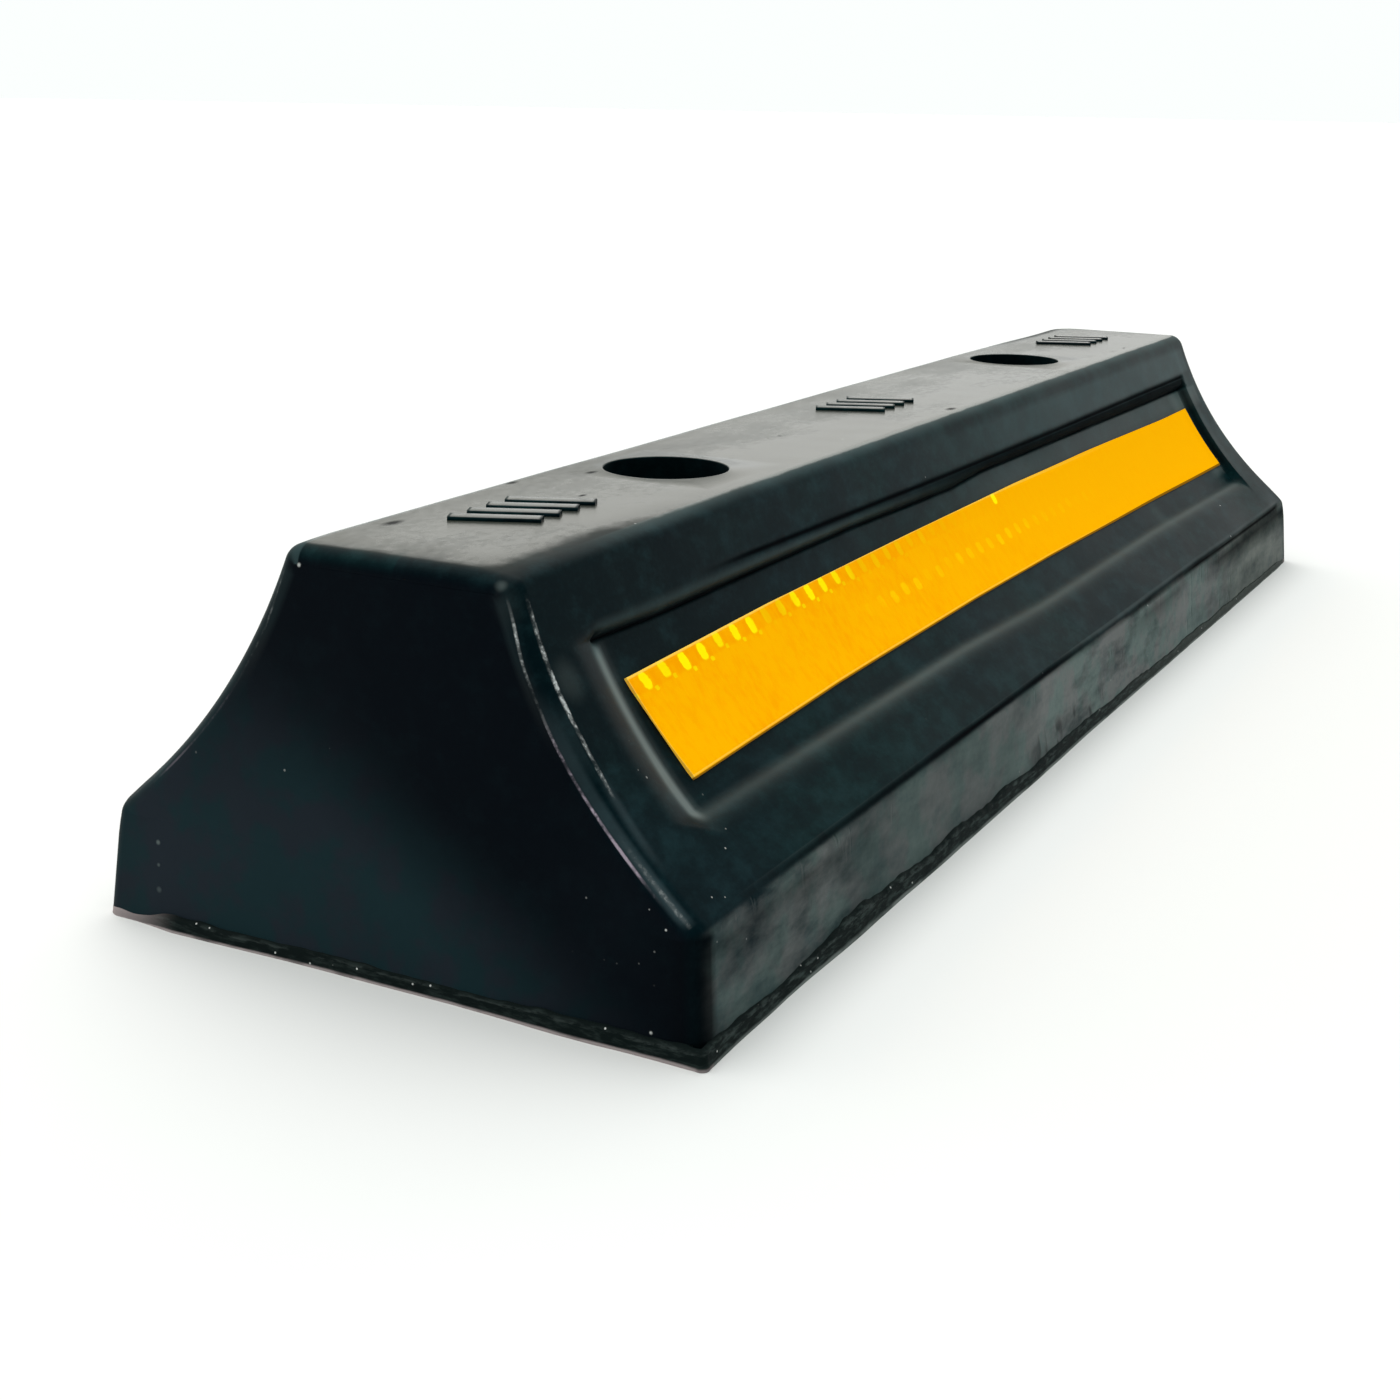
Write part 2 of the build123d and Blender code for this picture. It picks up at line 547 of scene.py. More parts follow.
        # Painted reflection of the floor, strongest low down towards the rear
        lift = (y - 1.4 * height + 0.055).rise(-0.035, 0.027) * height.fall(0.018, 0.098)
        lift = lift + 0.35 * (mottle - 0.5)
        floor_glow_colour = graph.mix(cloud.rise(0.42, 0.58), self.end_teal, self.end_violet)
        return graph.mix(lift.held(), self.night, floor_glow_colour)

    def smoked(self, graph: Graph, place: Signal, marks: Marks, cloud: Signal, colour: Signal) -> Signal:
        """Uneven smoke on the walls with a painted reflection of the floor, paler along some stretches, and
        scored low down along one.

        Args:
            graph: Graph of the material.
            place: Object coordinates.
            marks: The points' numbers.
            cloud: Noise that parts the smoke's two shades.
            colour: Colour of the rubber.

        Returns:
            The colour with the smoke on it.
        """
        x, y, height = graph.split(place)
        seen = seen_along(x, y)
        # Smoke with a painted reflection of the floor, uneven along the wall and fainter by its near end
        smoke_and_glow = graph.mix(cloud.rise(0.42, 0.58), self.smoke_green, self.smoke_brown)
        smoke_and_glow = graph.mix(seen.rise(0.14, 0.21), smoke_and_glow, self.smoke_far)
        pale = 0.34 * seen.near(-0.032, 0.01, 0.04) * height.rise(0.006, 0.013)
        pale = pale + 0.36 * seen.near(0.085, 0.03, 0.09) - 0.24 * seen.near(-0.200, 0.01, 0.05)
        uneven = 1.0 + 1.4 * seen.fall(-0.235, -0.190) + 0.7 * seen.rise(-0.090, -0.030)
        uneven = uneven + seen.near(0.020, 0.03, 0.09)
        patch = graph.streaks(place, (42.0, 42.0, 115.0), 5.0, 0.60)
        streak = graph.streaks(place, (70.0, 70.0, 34.0), 4.0)
        weight = 0.61 + pale + 1.15 * uneven * (patch - 0.5) + 0.20 * (streak - 0.5)
        weight = marks.wall * weight * (0.58 + 0.42 * seen.rise(-0.285, -0.215))
        colour = graph.mix(weight.held(), colour, smoke_and_glow)
        leaning = graph.stretched(place, (1.0, 1.0, 1.0), (0.0, 0.4, 0.0))
        scored = graph.streaks(leaning, (120.0, 120.0, 50.0), 2.0).rise(0.54, 0.63)
        scored = scored * marks.wall * height.fall(0.009, 0.016) * seen.near(-0.036, 0.018, 0.045)
        return graph.mix(0.75 * scored, colour, self.pit)

    def specks(self, graph: Graph, place: Signal, marks: Marks, mottle: Signal) -> Signal:
        """Pale specks: a few all over, more by one corner, and single crumbs.

        Args:
            graph: Graph of the material.
            place: Object coordinates.
            marks: The points' numbers.
            mottle: Broad noise, which leaves some places without specks.

        Returns:
            1 in a speck and 0 elsewhere.
        """
        found = graph.dots(place, 150.0, 0.060, 0.25) * mottle.rise(0.46, 0.60) * (1.0 - 0.6 * marks.end)
        corner = graph.spot(place, self.speckled, self.speckled_radius)
        found = found.at_least(0.8 * (graph.dots(place, 230.0, 0.075, 0.40) * corner))
        for crumb, radius in self.crumbs:
            found = found.at_least(graph.spot(place, crumb, radius))
        return found

    def colour(self, graph: Graph, place: Signal, marks: Marks, smudge: Signal, nicked: Signal) -> Signal:
        """Colour over the surface.

        Args:
            graph: Graph of the material.
            place: Object coordinates.
            marks: The points' numbers.
            smudge: Soft stains, from 0 to 1.
            nicked: 1 in a nick and 0 elsewhere.

        Returns:
            The colour.
        """
        x, y, height = graph.split(place)
        shaded = seen_along(x, y).fall(-0.23, -0.10)
        mottle = graph.grain(place, 15.0, 5.0)
        cloud = graph.grain(place, 70.0, 5.0)
        fine = graph.grain(place, 640.0, 3.0, 0.7)
        blotch = graph.streaks(place, (75.0, 110.0, 110.0), 6.0, 0.68)
        colour = graph.mix(mottle.rise(0.40, 0.62), self.teal, self.violet)
        # Painted shade high up towards the near end of each side
        colour = graph.mix(0.65 * shaded * height.rise(0.040, 0.070), colour, self.night)
        colour = graph.mix(marks.end, colour, self.end_tone(graph, place, mottle, cloud))
        colour = self.smoked(graph, place, marks, cloud, colour)
        # Blotches and bloom lie under the dust and the painted highlights
        plain = 1.0 - marks.end.at_least(marks.wall)
        colour = graph.mix(0.70 * blotch.fall(0.38, 0.56) * plain, colour, self.deep)
        bloom = 0.10 * fine.rise(0.45, 0.75) + 0.30 * blotch.rise(0.48, 0.70) * (0.4 + smudge)
        colour = graph.mix(bloom * (1.0 - 0.85 * marks.end), colour, self.haze)
        colour = graph.mix((marks.top * (0.35 + smudge)).held(), colour, self.dust)
        # Painted highlights, with some dust, where the points are marked pale
        rubbed = graph.mix(height.rise(0.074, 0.082), self.rubbed, self.rubbed_high)
        colour = graph.mix((marks.rub * (0.5 + smudge)).held(), colour, rubbed)
        colour = self.edge_wear(graph, place, marks, colour)
        # Scuffs and specks, and painted highlights by the near top corner
        for centre, radius, weight in self.scuffs:
            scuff_and_highlight = weight * graph.spot(place, centre, radius) * (0.4 + 1.2 * smudge)
            colour = graph.mix(scuff_and_highlight.held(), colour, self.rubbed)
        colour = graph.mix(self.specks(graph, place, marks, mottle), colour, self.fleck)
        # Painted shade in grooves, corners and the holes, and dark nicks
        return graph.mix(marks.groove.at_least(nicked), colour, self.pit)

    def nicked(self, graph: Graph, place: Signal, marks: Marks) -> Signal:
        """Chips and nicks in the polished top.

        Args:
            graph: Graph of the material.
            place: Object coordinates.
            marks: The points' numbers.

        Returns:
            1 in a nick and 0 elsewhere.
        """
        slanted = graph.stretched(place, (60.0, 170.0, 60.0), (0.0, 0.0, 0.5))
        found = graph.dots(slanted, 1.0, 0.15, 0.08) + graph.dots(place, 52.0, 0.06, 0.18)
        squeezed = graph.stretched(place, (self.nick_squeeze, 1.0, 1.0))
        for x, y, radius in self.nicks:
            found = found + graph.spot(squeezed, (self.nick_squeeze * x, y, self.nick_height), radius)
        return (found.held() * marks.top.rise(0.2, 0.5)).held()

    def polish(self, graph: Graph, place: Signal, marks: Marks, smudge: Signal, nicked: Signal) -> Signal:
        """Gloss of the top: ragged at its edges, smudged, and duller towards the rear.

        Args:
            graph: Graph of the material.
            place: Object coordinates.
            marks: The points' numbers.
            smudge: Soft stains, from 0 to 1.
            nicked: 1 in a nick and 0 elsewhere.

        Returns:
            The weight of the gloss, from 0 to 1.
        """
        x, y, _ = graph.split(place)
        grit = graph.streaks(place, (300.0, 420.0, 300.0), 4.0, 0.65)
        ragged = (marks.top + 0.7 * (graph.grain(place, 85.0, 5.0, 0.62) - 0.5)).rise(0.22, 0.84)
        shine = 0.56 + 0.38 * smudge.rise(0.32, 0.66) + (0.55 + 0.35 * x.fall(-0.26, -0.06)) * (grit - 0.5)
        worn = 1.0 - 0.11 * abs(x).rise(0.15, 0.20) * y.rise(0.0, 0.02)
        return (ragged * shine * (1.20 - 12.4 * y) * worn * (1.0 - nicked)).held()

    def relief(self, graph: Graph, place: Signal, marks: Marks, nicked: Signal) -> Signal:
        """Fine relief: waves all over, dents and gouges in the walls, a grain, and the nicks.

        Args:
            graph: Graph of the material.
            place: Object coordinates.
            marks: The points' numbers.
            nicked: 1 in a nick and 0 elsewhere.

        Returns:
            The tilted surface direction.
        """
        dents = graph.grain(place, 75.0, 3.0) * marks.wall
        gouges = graph.streaks(place, (210.0, 210.0, 60.0), 2.0, turn=(0.0, 0.35, 0.0)).rise(0.60, 0.72)
        gouges = gouges * marks.wall * graph.grain(place, 21.0, 2.0).rise(0.50, 0.62)
        normal = graph.bump(graph.grain(place, 30.0, 2.0), 0.20, 0.0009)
        normal = graph.bump(dents, 0.35, 0.0014, normal)
        normal = graph.bump(1.0 - gouges, 0.6, 0.0010, normal)
        normal = graph.bump(graph.grain(place, 1900.0, 2.0), 0.10, 0.00012, normal)
        return graph.bump(1.0 - nicked, 0.8, 0.0007, normal)

    def material(self) -> bpy.types.Material:
        """Makes the material.

        Returns:
            The material.
        """
        made, graph = material_graph(self.name)
        place = graph.place()
        marks = Marks(*(graph.mark(name) for name in Marks._fields))
        smudge = graph.streaks(place, (16.0, 30.0, 30.0), 6.0, 0.62)
        nicked = self.nicked(graph, place, marks)
        rough = self.roughness + 0.10 * marks.wall + 0.6 * marks.groove + 0.22 * (smudge - 0.5)
        graph.surface(
            {
                "Base Color": self.colour(graph, place, marks, smudge, nicked),
                "Roughness": rough.held(),
                "IOR": self.index,
                "Specular Tint": self.tint,
                "Coat Weight": self.polish(graph, place, marks, smudge, nicked),
                "Coat Roughness": self.coat_roughness,
                "Coat IOR": self.coat_index,
                "Normal": self.relief(graph, place, marks, nicked),
            }
        )
        return made


@dataclass(frozen=True)
class FlashFinish:
    """Rough torn rubber of the flash: a light upper line painted on its ledge, a dark face with painted shade
    along its top, a pale lower lip and a few crumbs.
    """

    name: str = "trimmed_flash_rubber"
    dark: Colour = (0.0035, 0.0080, 0.0078)
    grey: Colour = (0.052, 0.070, 0.066)
    line: Colour = (0.075, 0.088, 0.086)
    far: Colour = (0.078, 0.086, 0.078)
    side_lip: Colour = (0.20, 0.22, 0.21)
    end_lip: Colour = (0.42, 0.35, 0.35)
    fleck: Colour = (0.72, 0.72, 0.70)
    index: float = 1.14
    end: float = -284.5
    end_fade: float = 1.5

    def material(self) -> bpy.types.Material:
        """Makes the material.

        Returns:
            The material.
        """
        made, graph = material_graph(self.name)
        place = graph.place()
        x, y, _ = graph.split(place)
        up = graph.mark("up")
        torn = graph.streaks(place, (190.0, 190.0, 900.0), 5.0, 0.66)
        cloud = graph.grain(place, 60.0, 3.0)
        near_end = x.fall(self.end * MM, (self.end + self.end_fade) * MM)
        far = seen_along(x, y).rise(-0.04, 0.20) * abs(x).fall(0.2845, 0.2860)
        greyed = (0.9 - 0.5 * near_end) * torn.rise(0.44, 0.68) * (0.3 + cloud)
        colour = graph.mix(greyed.held(), self.dark, self.grey)
        colour = graph.mix(0.70 * far, colour, self.far)
        # Painted light along the upper ledge
        ledge = abs(up - 0.80 + 0.25 * (torn - 0.5)).fall(0.02, 0.11) * torn.rise(0.42, 0.62)
        colour = graph.mix(0.3 * ledge, colour, self.line)
        # Painted shade along the top, where the rim meets the wall
        colour = graph.mix(up.rise(0.90, 1.0), colour, self.dark)
        lip = graph.mix(near_end, self.side_lip, self.end_lip)
        lipped = up.fall(0.08, 0.24) * (0.35 + cloud.rise(0.35, 0.6))
        colour = graph.mix(lipped.held(), colour, lip)
        trimmed = abs(x).rise(0.279, 0.283) * abs(y).rise(0.060, 0.084) * (0.0 - x * y).rise(0.0, 0.002)
        colour = graph.mix(0.9 * trimmed, colour, self.end_lip)
        colour = graph.mix(graph.dots(place, 260.0, 0.085, 0.65), colour, self.fleck)
        graph.surface(
            {
                "Base Color": colour,
                "Roughness": 0.50 + 0.35 * torn,
                "IOR": self.index,
                "Normal": graph.bump(torn, 0.5, 0.0005),
            }
        )
        return made


@dataclass(frozen=True)
class FilmFinish:
    """Amber prismatic film: sealed cells that glint along its upper edge, and a pale cut edge."""

    name: str = "amber_prismatic_film"
    amber: Colour = (0.95, 0.425, 0.0003)
    deep: Colour = (0.925, 0.345, 0.0003)
    glint: Colour = (1.0, 0.84, 0.0025)
    cut_edge: Colour = (1.0, 0.66, 0.10)
    shade: Colour = (0.16, 0.07, 0.004)
    outline: Colour = (0.80, 0.28, 0.0005)
    pitch: float = 9.15
    first_cell: float = 1.6
    width: float = 27.8
    lone_glint: float = 246.8
    glow: float = 0.30
    index: float = 1.005

    def capsule(self, across: Signal, up: Signal, wide: float, tall: float) -> Signal:
        """Soft upright oval about the point where both places are 0.

        Args:
            across: Place along the film, in millimetres.
            up: Place up the film, in millimetres.
            wide: Width of the oval.
            tall: Height of the oval.

        Returns:
            1 in the oval and 0 outside it.
        """
        flat = abs(across * (2.0 / wide)) ** 3.0
        upright = abs(up * (2.0 / tall)) ** 3.0
        return (flat + upright).fall(0.45, 1.25)

    def row(
        self, graph: Graph, run: Signal, rise: Signal, middle: float, tall: float, wide: float, toe: float
    ) -> Signal:
        """One row of glints along the film.

        Args:
            graph: Graph of the material.
            run: Distance along the film from its left end, in millimetres.
            rise: Height up the film, in millimetres.
            middle: Height of the row's middle.
            tall: Height of one glint.
            wide: Width of one glint.
            toe: Weight of the small glint at the foot of each one.

        Returns:
            1 in a glint and 0 elsewhere, weaker in some cells.
        """
        cell = (run - self.first_cell) / self.pitch
        chance = {"noise_dimensions": "1D"}
        spare = graph.node("ShaderNodeTexWhiteNoise", chance, {"W": cell.whole()}, "Value")
        spot = graph.node("ShaderNodeCombineXYZ", None, {"X": run, "Y": rise})
        fray = 1.3 * (graph.grain(spot, 0.8, 2.0) - 0.5)
        across = (cell.part() - 0.5) * self.pitch + 0.12 * (rise - middle) + fray
        up = rise - middle + 1.2 * (spare - 0.5)
        body = self.capsule(across, up, wide, tall)
        foot = self.capsule(across - 0.66 * wide, up + 0.56 * tall, 0.5 * wide, 0.28 * tall)
        return (body + toe * foot).held() * (0.72 + 0.28 * spare)

    def material(self) -> bpy.types.Material:
        """Makes the material.

        Returns:
            The material.
        """
        made, graph = material_graph(self.name)
        chart = graph.node("ShaderNodeUVMap", {"uv_map": "film"})
        flat_run, flat_rise, _ = graph.split(chart)
        run = flat_run * (1.0 / MM)
        rise = flat_rise * (1.0 / MM)
        weave = graph.streaks(chart, (330.0, 190.0, 1.0), 4.0, 0.65, (0.0, 0.0, 0.5))
        drift = graph.grain(chart, 34.0, 4.0)
        near = run.fall(90.0, 330.0)
        band = rise.rise(self.width - 5.6, self.width - 4.6) * run.fall(110.0, 300.0)
        woven = 0.70 * (0.25 + near) * weave.rise(0.40, 0.66) * (0.1 + 1.2 * drift)
        fade = woven + 1.6 * (drift - 0.5) * near + 0.5 * band
        colour = graph.mix(fade.held(), self.amber, self.deep)
        # Glints: a bright row along the upper edge, a faint one in the middle and a lone one
        upper = self.row(graph, run, rise, self.width - 2.6, tall=4.9, wide=3.7, toe=0.6)
        lively = run.fall(58.0, 72.0) + run.near(103.0, 10.0, 30.0)
        upper = upper * (0.30 + 0.70 * lively).held() * run.fall(150.0, 260.0)
        middle = self.row(graph, run, rise, 0.48 * self.width, tall=4.2, wide=4.2, toe=0.0)
        middle = middle * run.rise(110.0, 140.0) * run.fall(270.0, 350.0) * (0.25 + drift.rise(0.38, 0.60))
        lone = self.capsule(run - self.lone_glint, rise - self.width + 1.6, 3.6, 4.6)
        colour = graph.mix(2.8 * upper * (1.0 - upper), colour, self.outline)
        colour = graph.mix((upper + 0.25 * middle + lone).held(), colour, self.glint)
        # Cut edge, pale where it faces up and dark under its lower side
        border = 0.5 * rise.near(0.80, 0.05, 0.30) + rise.rise(self.width - 0.9, self.width - 0.3)
        border = border + 0.5 * run.fall(0.1, 0.4)
        colour = graph.mix(0.8 * border.held() * run.fall(150.0, 400.0), colour, self.cut_edge)
        under = (rise - 0.45 * run.rise(230.0, 440.0)).fall(0.25, 0.60)
        colour = graph.mix(0.9 * under, colour, self.shade)
        cells = abs((run / self.pitch).part() - 0.5).rise(0.44, 0.5)
        normal = graph.bump(weave, 0.12, 0.0002)
        normal = graph.bump(1.0 - cells, 0.10, 0.0001, normal)
        graph.surface(
            {
                "Base Color": colour,
                "Roughness": 0.30 + 0.18 * weave,
                "IOR": self.index,
                "Emission Color": colour,
                "Emission Strength": self.glow,
                "Normal": normal,
            }
        )
        return made


@dataclass(frozen=True)
class ZincFinish:
    """Zinc-plated steel: dull silver with a faint bloom and turned rings."""

    name: str = "dull_zinc_plate"
    bright: Colour = (0.56, 0.57, 0.58)
    bloom: Colour = (0.33, 0.34, 0.35)

    def material(self) -> bpy.types.Material:
        """Makes the material.

        Returns:
            The material.
        """
        made, graph = material_graph(self.name)
        place = graph.place()
        cloud = graph.grain(place, 140.0, 4.0)
        scratch = graph.streaks(place, (2400.0, 260.0, 900.0), 2.0)
        graph.surface(
            {
                "Base Color": graph.mix(cloud.rise(0.42, 0.66), self.bright, self.bloom),
                "Metallic": 1.0,
                "Roughness": 0.32 + 0.25 * cloud,
                "Normal": graph.bump(scratch, 0.15, 0.0001),
            }
        )
        return made


class MeshDraft:
    """Points, faces and point marks of a mesh in the making, in millimetres."""

    def __init__(self, *marks: str) -> None:
        """Starts empty, with the names of the numbers that each point carries."""
        self.points: list[Vector] = []
        self.faces: list[tuple[int, ...]] = []
        self.marks: dict[str, list[float]] = {name: [] for name in marks}

    def point(self, place: Vector, **marks: float) -> int:
        """Adds a point.

        Args:
            place: Its place.
            **marks: Its numbers, each 0 where it isn't given.

        Returns:
            The point's own number.
        """
        self.points.append(place)
        for name, values in self.marks.items():
            values.append(marks.get(name, 0.0))
        return len(self.points) - 1

    def sheet(self, rows: Sequence[Sequence[int]], closed: bool = False) -> None:
        """Fills between neighbouring rows of points.

        Args:
            rows: Rows of point numbers, all of one length.
            closed: Whether each row closes on itself.
        """
        width = len(rows[0])
        for low, high in zip(rows, rows[1:]):
            for i in range(width if closed else width - 1):
                j = (i + 1) % width
                self.faces.append((low[i], low[j], high[j], high[i]))

    def mesh(self, name: str) -> bpy.types.Mesh:
        """The draft as a mesh.

        Args:
            name: Name of the mesh.

        Returns:
            The mesh, in metres, with its marks as attributes.
        """
        made = bpy.data.meshes.new(name)
        made.from_pydata([tuple(p * MM) for p in self.points], [], self.faces)
        for mark, values in self.marks.items():
            made.attributes.new(mark, "FLOAT", "POINT").data.foreach_set("value", values)
        return made


def finished(
    name: str, made: bpy.types.Mesh, fill_floor: bool = False, crisp: float = 35.0
) -> bpy.types.Object:
    """Tidies a mesh and links it as an object.

    Args:
        name: Name of the piece.
        made: Its mesh, in metres.
        fill_floor: Whether its open loops are filled with one flat face between them.
        crisp: Angle in degrees past which an edge stays sharp.

    Returns:
        The object, at the origin, with its faces outward and its shading smooth.
    """
    work = bmesh.new()
    work.from_mesh(made)
    bmesh.ops.remove_doubles(work, verts=work.verts, dist=1e-7)
    bmesh.ops.delete(work, geom=[v for v in work.verts if not v.link_faces], context="VERTS")
    if fill_floor:
        loops = [e for e in work.edges if e.is_boundary]
        bmesh.ops.triangle_fill(work, edges=loops, use_beauty=True)
    bmesh.ops.recalc_face_normals(work, faces=work.faces)
    open_edges = sum(1 for e in work.edges if not e.is_manifold)
    work.to_mesh(made)
    work.free()
    made.shade_smooth()
    made.set_sharp_from_angle(angle=radians(crisp))
    piece = bpy.data.objects.new(name, made)
    bpy.context.scene.collection.objects.link(piece)
    LOG.info("%s: %d faces, %d open edges", name, len(made.polygons), open_edges)
    return piece


class ProfilePoint(NamedTuple):
    """A point of the block's outline."""

    y: float
    z: float
    out_y: float
    out_z: float
    zone: Zone
    share: float
    run: float


@dataclass
class BlockProfile:
    """Outline of the block across its length: wall, shoulder, hollow flank, rounded edge and flat top."""

    height: float
    foot: float
    shoulder: float = 82.3
    shoulder_height: float = 29.3
    top: float = 31.0
    flank_radius: float = 147.0
    shoulder_radius: float = 5.5
    edge_radius: float = 6.5
    shoulder_steps: int = 20
    edge_steps: int = 12
    wall_shares: tuple[float, ...] = (0.0, 0.05, 0.12, 0.22, 0.36, 0.5, 0.64, 0.78, 0.9)
    coarse: float = 2.6
    low_zone: tuple[float, float, float] = (13.0, 25.0, 0.55)
    high_zone: tuple[float, float, float] = (64.0, 75.5, 0.36)
    top_lines: tuple[float, ...] = (25.0, 23.0, 20.4, 17.8, 15.0, 12.0, 9.0, 6.0, 3.0)

    def centre(self) -> Vector:
        """Centre of the front flank's arc.

        Returns:
            The centre, as (y, z).
        """
        run = self.shoulder - self.top
        rise = self.height - self.shoulder_height
        chord = hypot(run, rise)
        reach = sqrt(self.flank_radius**2 - (chord / 2.0) ** 2)
        middle = Vector((-(self.shoulder + self.top) / 2.0, (self.height + self.shoulder_height) / 2.0))
        return middle + Vector((-rise, run)) * (reach / chord)

    def shoulder_angle(self) -> float:
        """Angle below level, seen from that centre, of the shoulder's corner."""
        return asin((self.centre()[1] - self.shoulder_height) / self.flank_radius)

    def flank_point(self, run: float, sunk: float = 0.0) -> ProfilePoint:
        """Point of the front flank at a distance round it from the shoulder.

        Args:
            run: Distance from the shoulder's corner.
            sunk: Depth below the flank.

        Returns:
            The point, facing out.
        """
        angle = self.shoulder_angle() - run / self.flank_radius
        arm = Vector((cos(angle), -sin(angle)))
        spot = self.centre() + arm * (self.flank_radius + sunk)
        return ProfilePoint(spot[0], spot[1], -arm[0], -arm[1], Zone.FLANK, 0.0, run)

    def rounding(
        self, core: Vector, start: Vector, stop: Vector, radius: float, zone: Zone, count: int
    ) -> list[ProfilePoint]:
        """Points round an outer corner, without its last one.

        Args:
            core: Centre of the rounding.
            start: Outward direction where it starts.
            stop: Outward direction where it stops.
            radius: Its radius.
            zone: Zone that its points belong to.
            count: How many points.

        Returns:
            The points, in order.
        """
        made = []
        for i in range(count):
            out = start.slerp(stop, i / count)
            spot = core + out * radius
            made.append(ProfilePoint(spot[0], spot[1], out[0], out[1], zone, i / count, OFF_FLANK))
        return made

    def half(self) -> list[ProfilePoint]:
        """Front half of the outline, with fine steps in two zones of the flank.

        Returns:
            The points, from the floor to where the flat top starts.
        """
        centre = self.centre()
        climb = Vector((self.foot - self.shoulder, self.shoulder_height)).normalized()
        out = Vector((-climb[1], climb[0]))
        inner = Vector((-self.foot, 0.0)) - out * self.shoulder_radius
        gap = inner - centre
        reach = self.flank_radius + self.shoulder_radius
        slope = gap.dot(climb)
        core = inner + climb * (-slope - sqrt(slope**2 - gap.length_squared + reach**2))
        wall_end = core + out * self.shoulder_radius
        made = []
        for share in self.wall_shares:
            spot = Vector((-self.foot, 0.0)).lerp(wall_end, share)
            made.append(ProfilePoint(spot[0], spot[1], out[0], out[1], Zone.WALL, share, OFF_FLANK))
        low_out = (centre - core).normalized()
        made += self.rounding(
            core, out, low_out, self.shoulder_radius, Zone.SHOULDER, self.shoulder_steps
        )
        edge_z = self.height - self.edge_radius
        edge_y = centre[0] + sqrt((self.flank_radius + self.edge_radius) ** 2 - (edge_z - centre[1]) ** 2)
        edge = Vector((edge_y, edge_z))
        high_out = (centre - edge).normalized()
        first = (self.shoulder_angle() - atan2(low_out[1], -low_out[0])) * self.flank_radius
        last = (self.shoulder_angle() - atan2(high_out[1], -high_out[0])) * self.flank_radius
        stops = (first, *self.low_zone[:2], *self.high_zone[:2], last)
        steps = (self.coarse, self.low_zone[2], self.coarse, self.high_zone[2], self.coarse)
        for start, stop, step in zip(stops, stops[1:], steps):
            made += [self.flank_point(run) for run in spread(start, stop, step)]
        upright = Vector((0.0, 1.0))
        made += self.rounding(edge, high_out, upright, self.edge_radius, Zone.EDGE, self.edge_steps)
        made.append(ProfilePoint(edge_y, self.height, 0.0, 1.0, Zone.TOP, 0.0, OFF_FLANK))
        return made

    def points(self) -> tuple[list[ProfilePoint], int]:
        """The whole outline.

        Returns:
            The points, from the front foot over the top to the rear foot, and the size of one half.
        """
        front = self.half()
        lines = [-y for y in self.top_lines] + [0.0] + list(reversed(self.top_lines))
        top = [ProfilePoint(y, self.height, 0.0, 1.0, Zone.TOP, 0.5, OFF_FLANK) for y in lines]
        rear = [p._replace(y=-p.y, out_y=-p.out_y) for p in reversed(front)]
        return front + top + rear, len(front)


class Station(NamedTuple):
    """A line across the block: at an x, then a share of the way out to an end, then round its edge."""

    x: float
    out: float
    turn: float


class Hollow(NamedTuple):
    """What is done to a point of the skin: its depth, its paleness from painted highlights and dust, and its
    painted shade.
    """

    depth: float
    rub: float
    groove: float


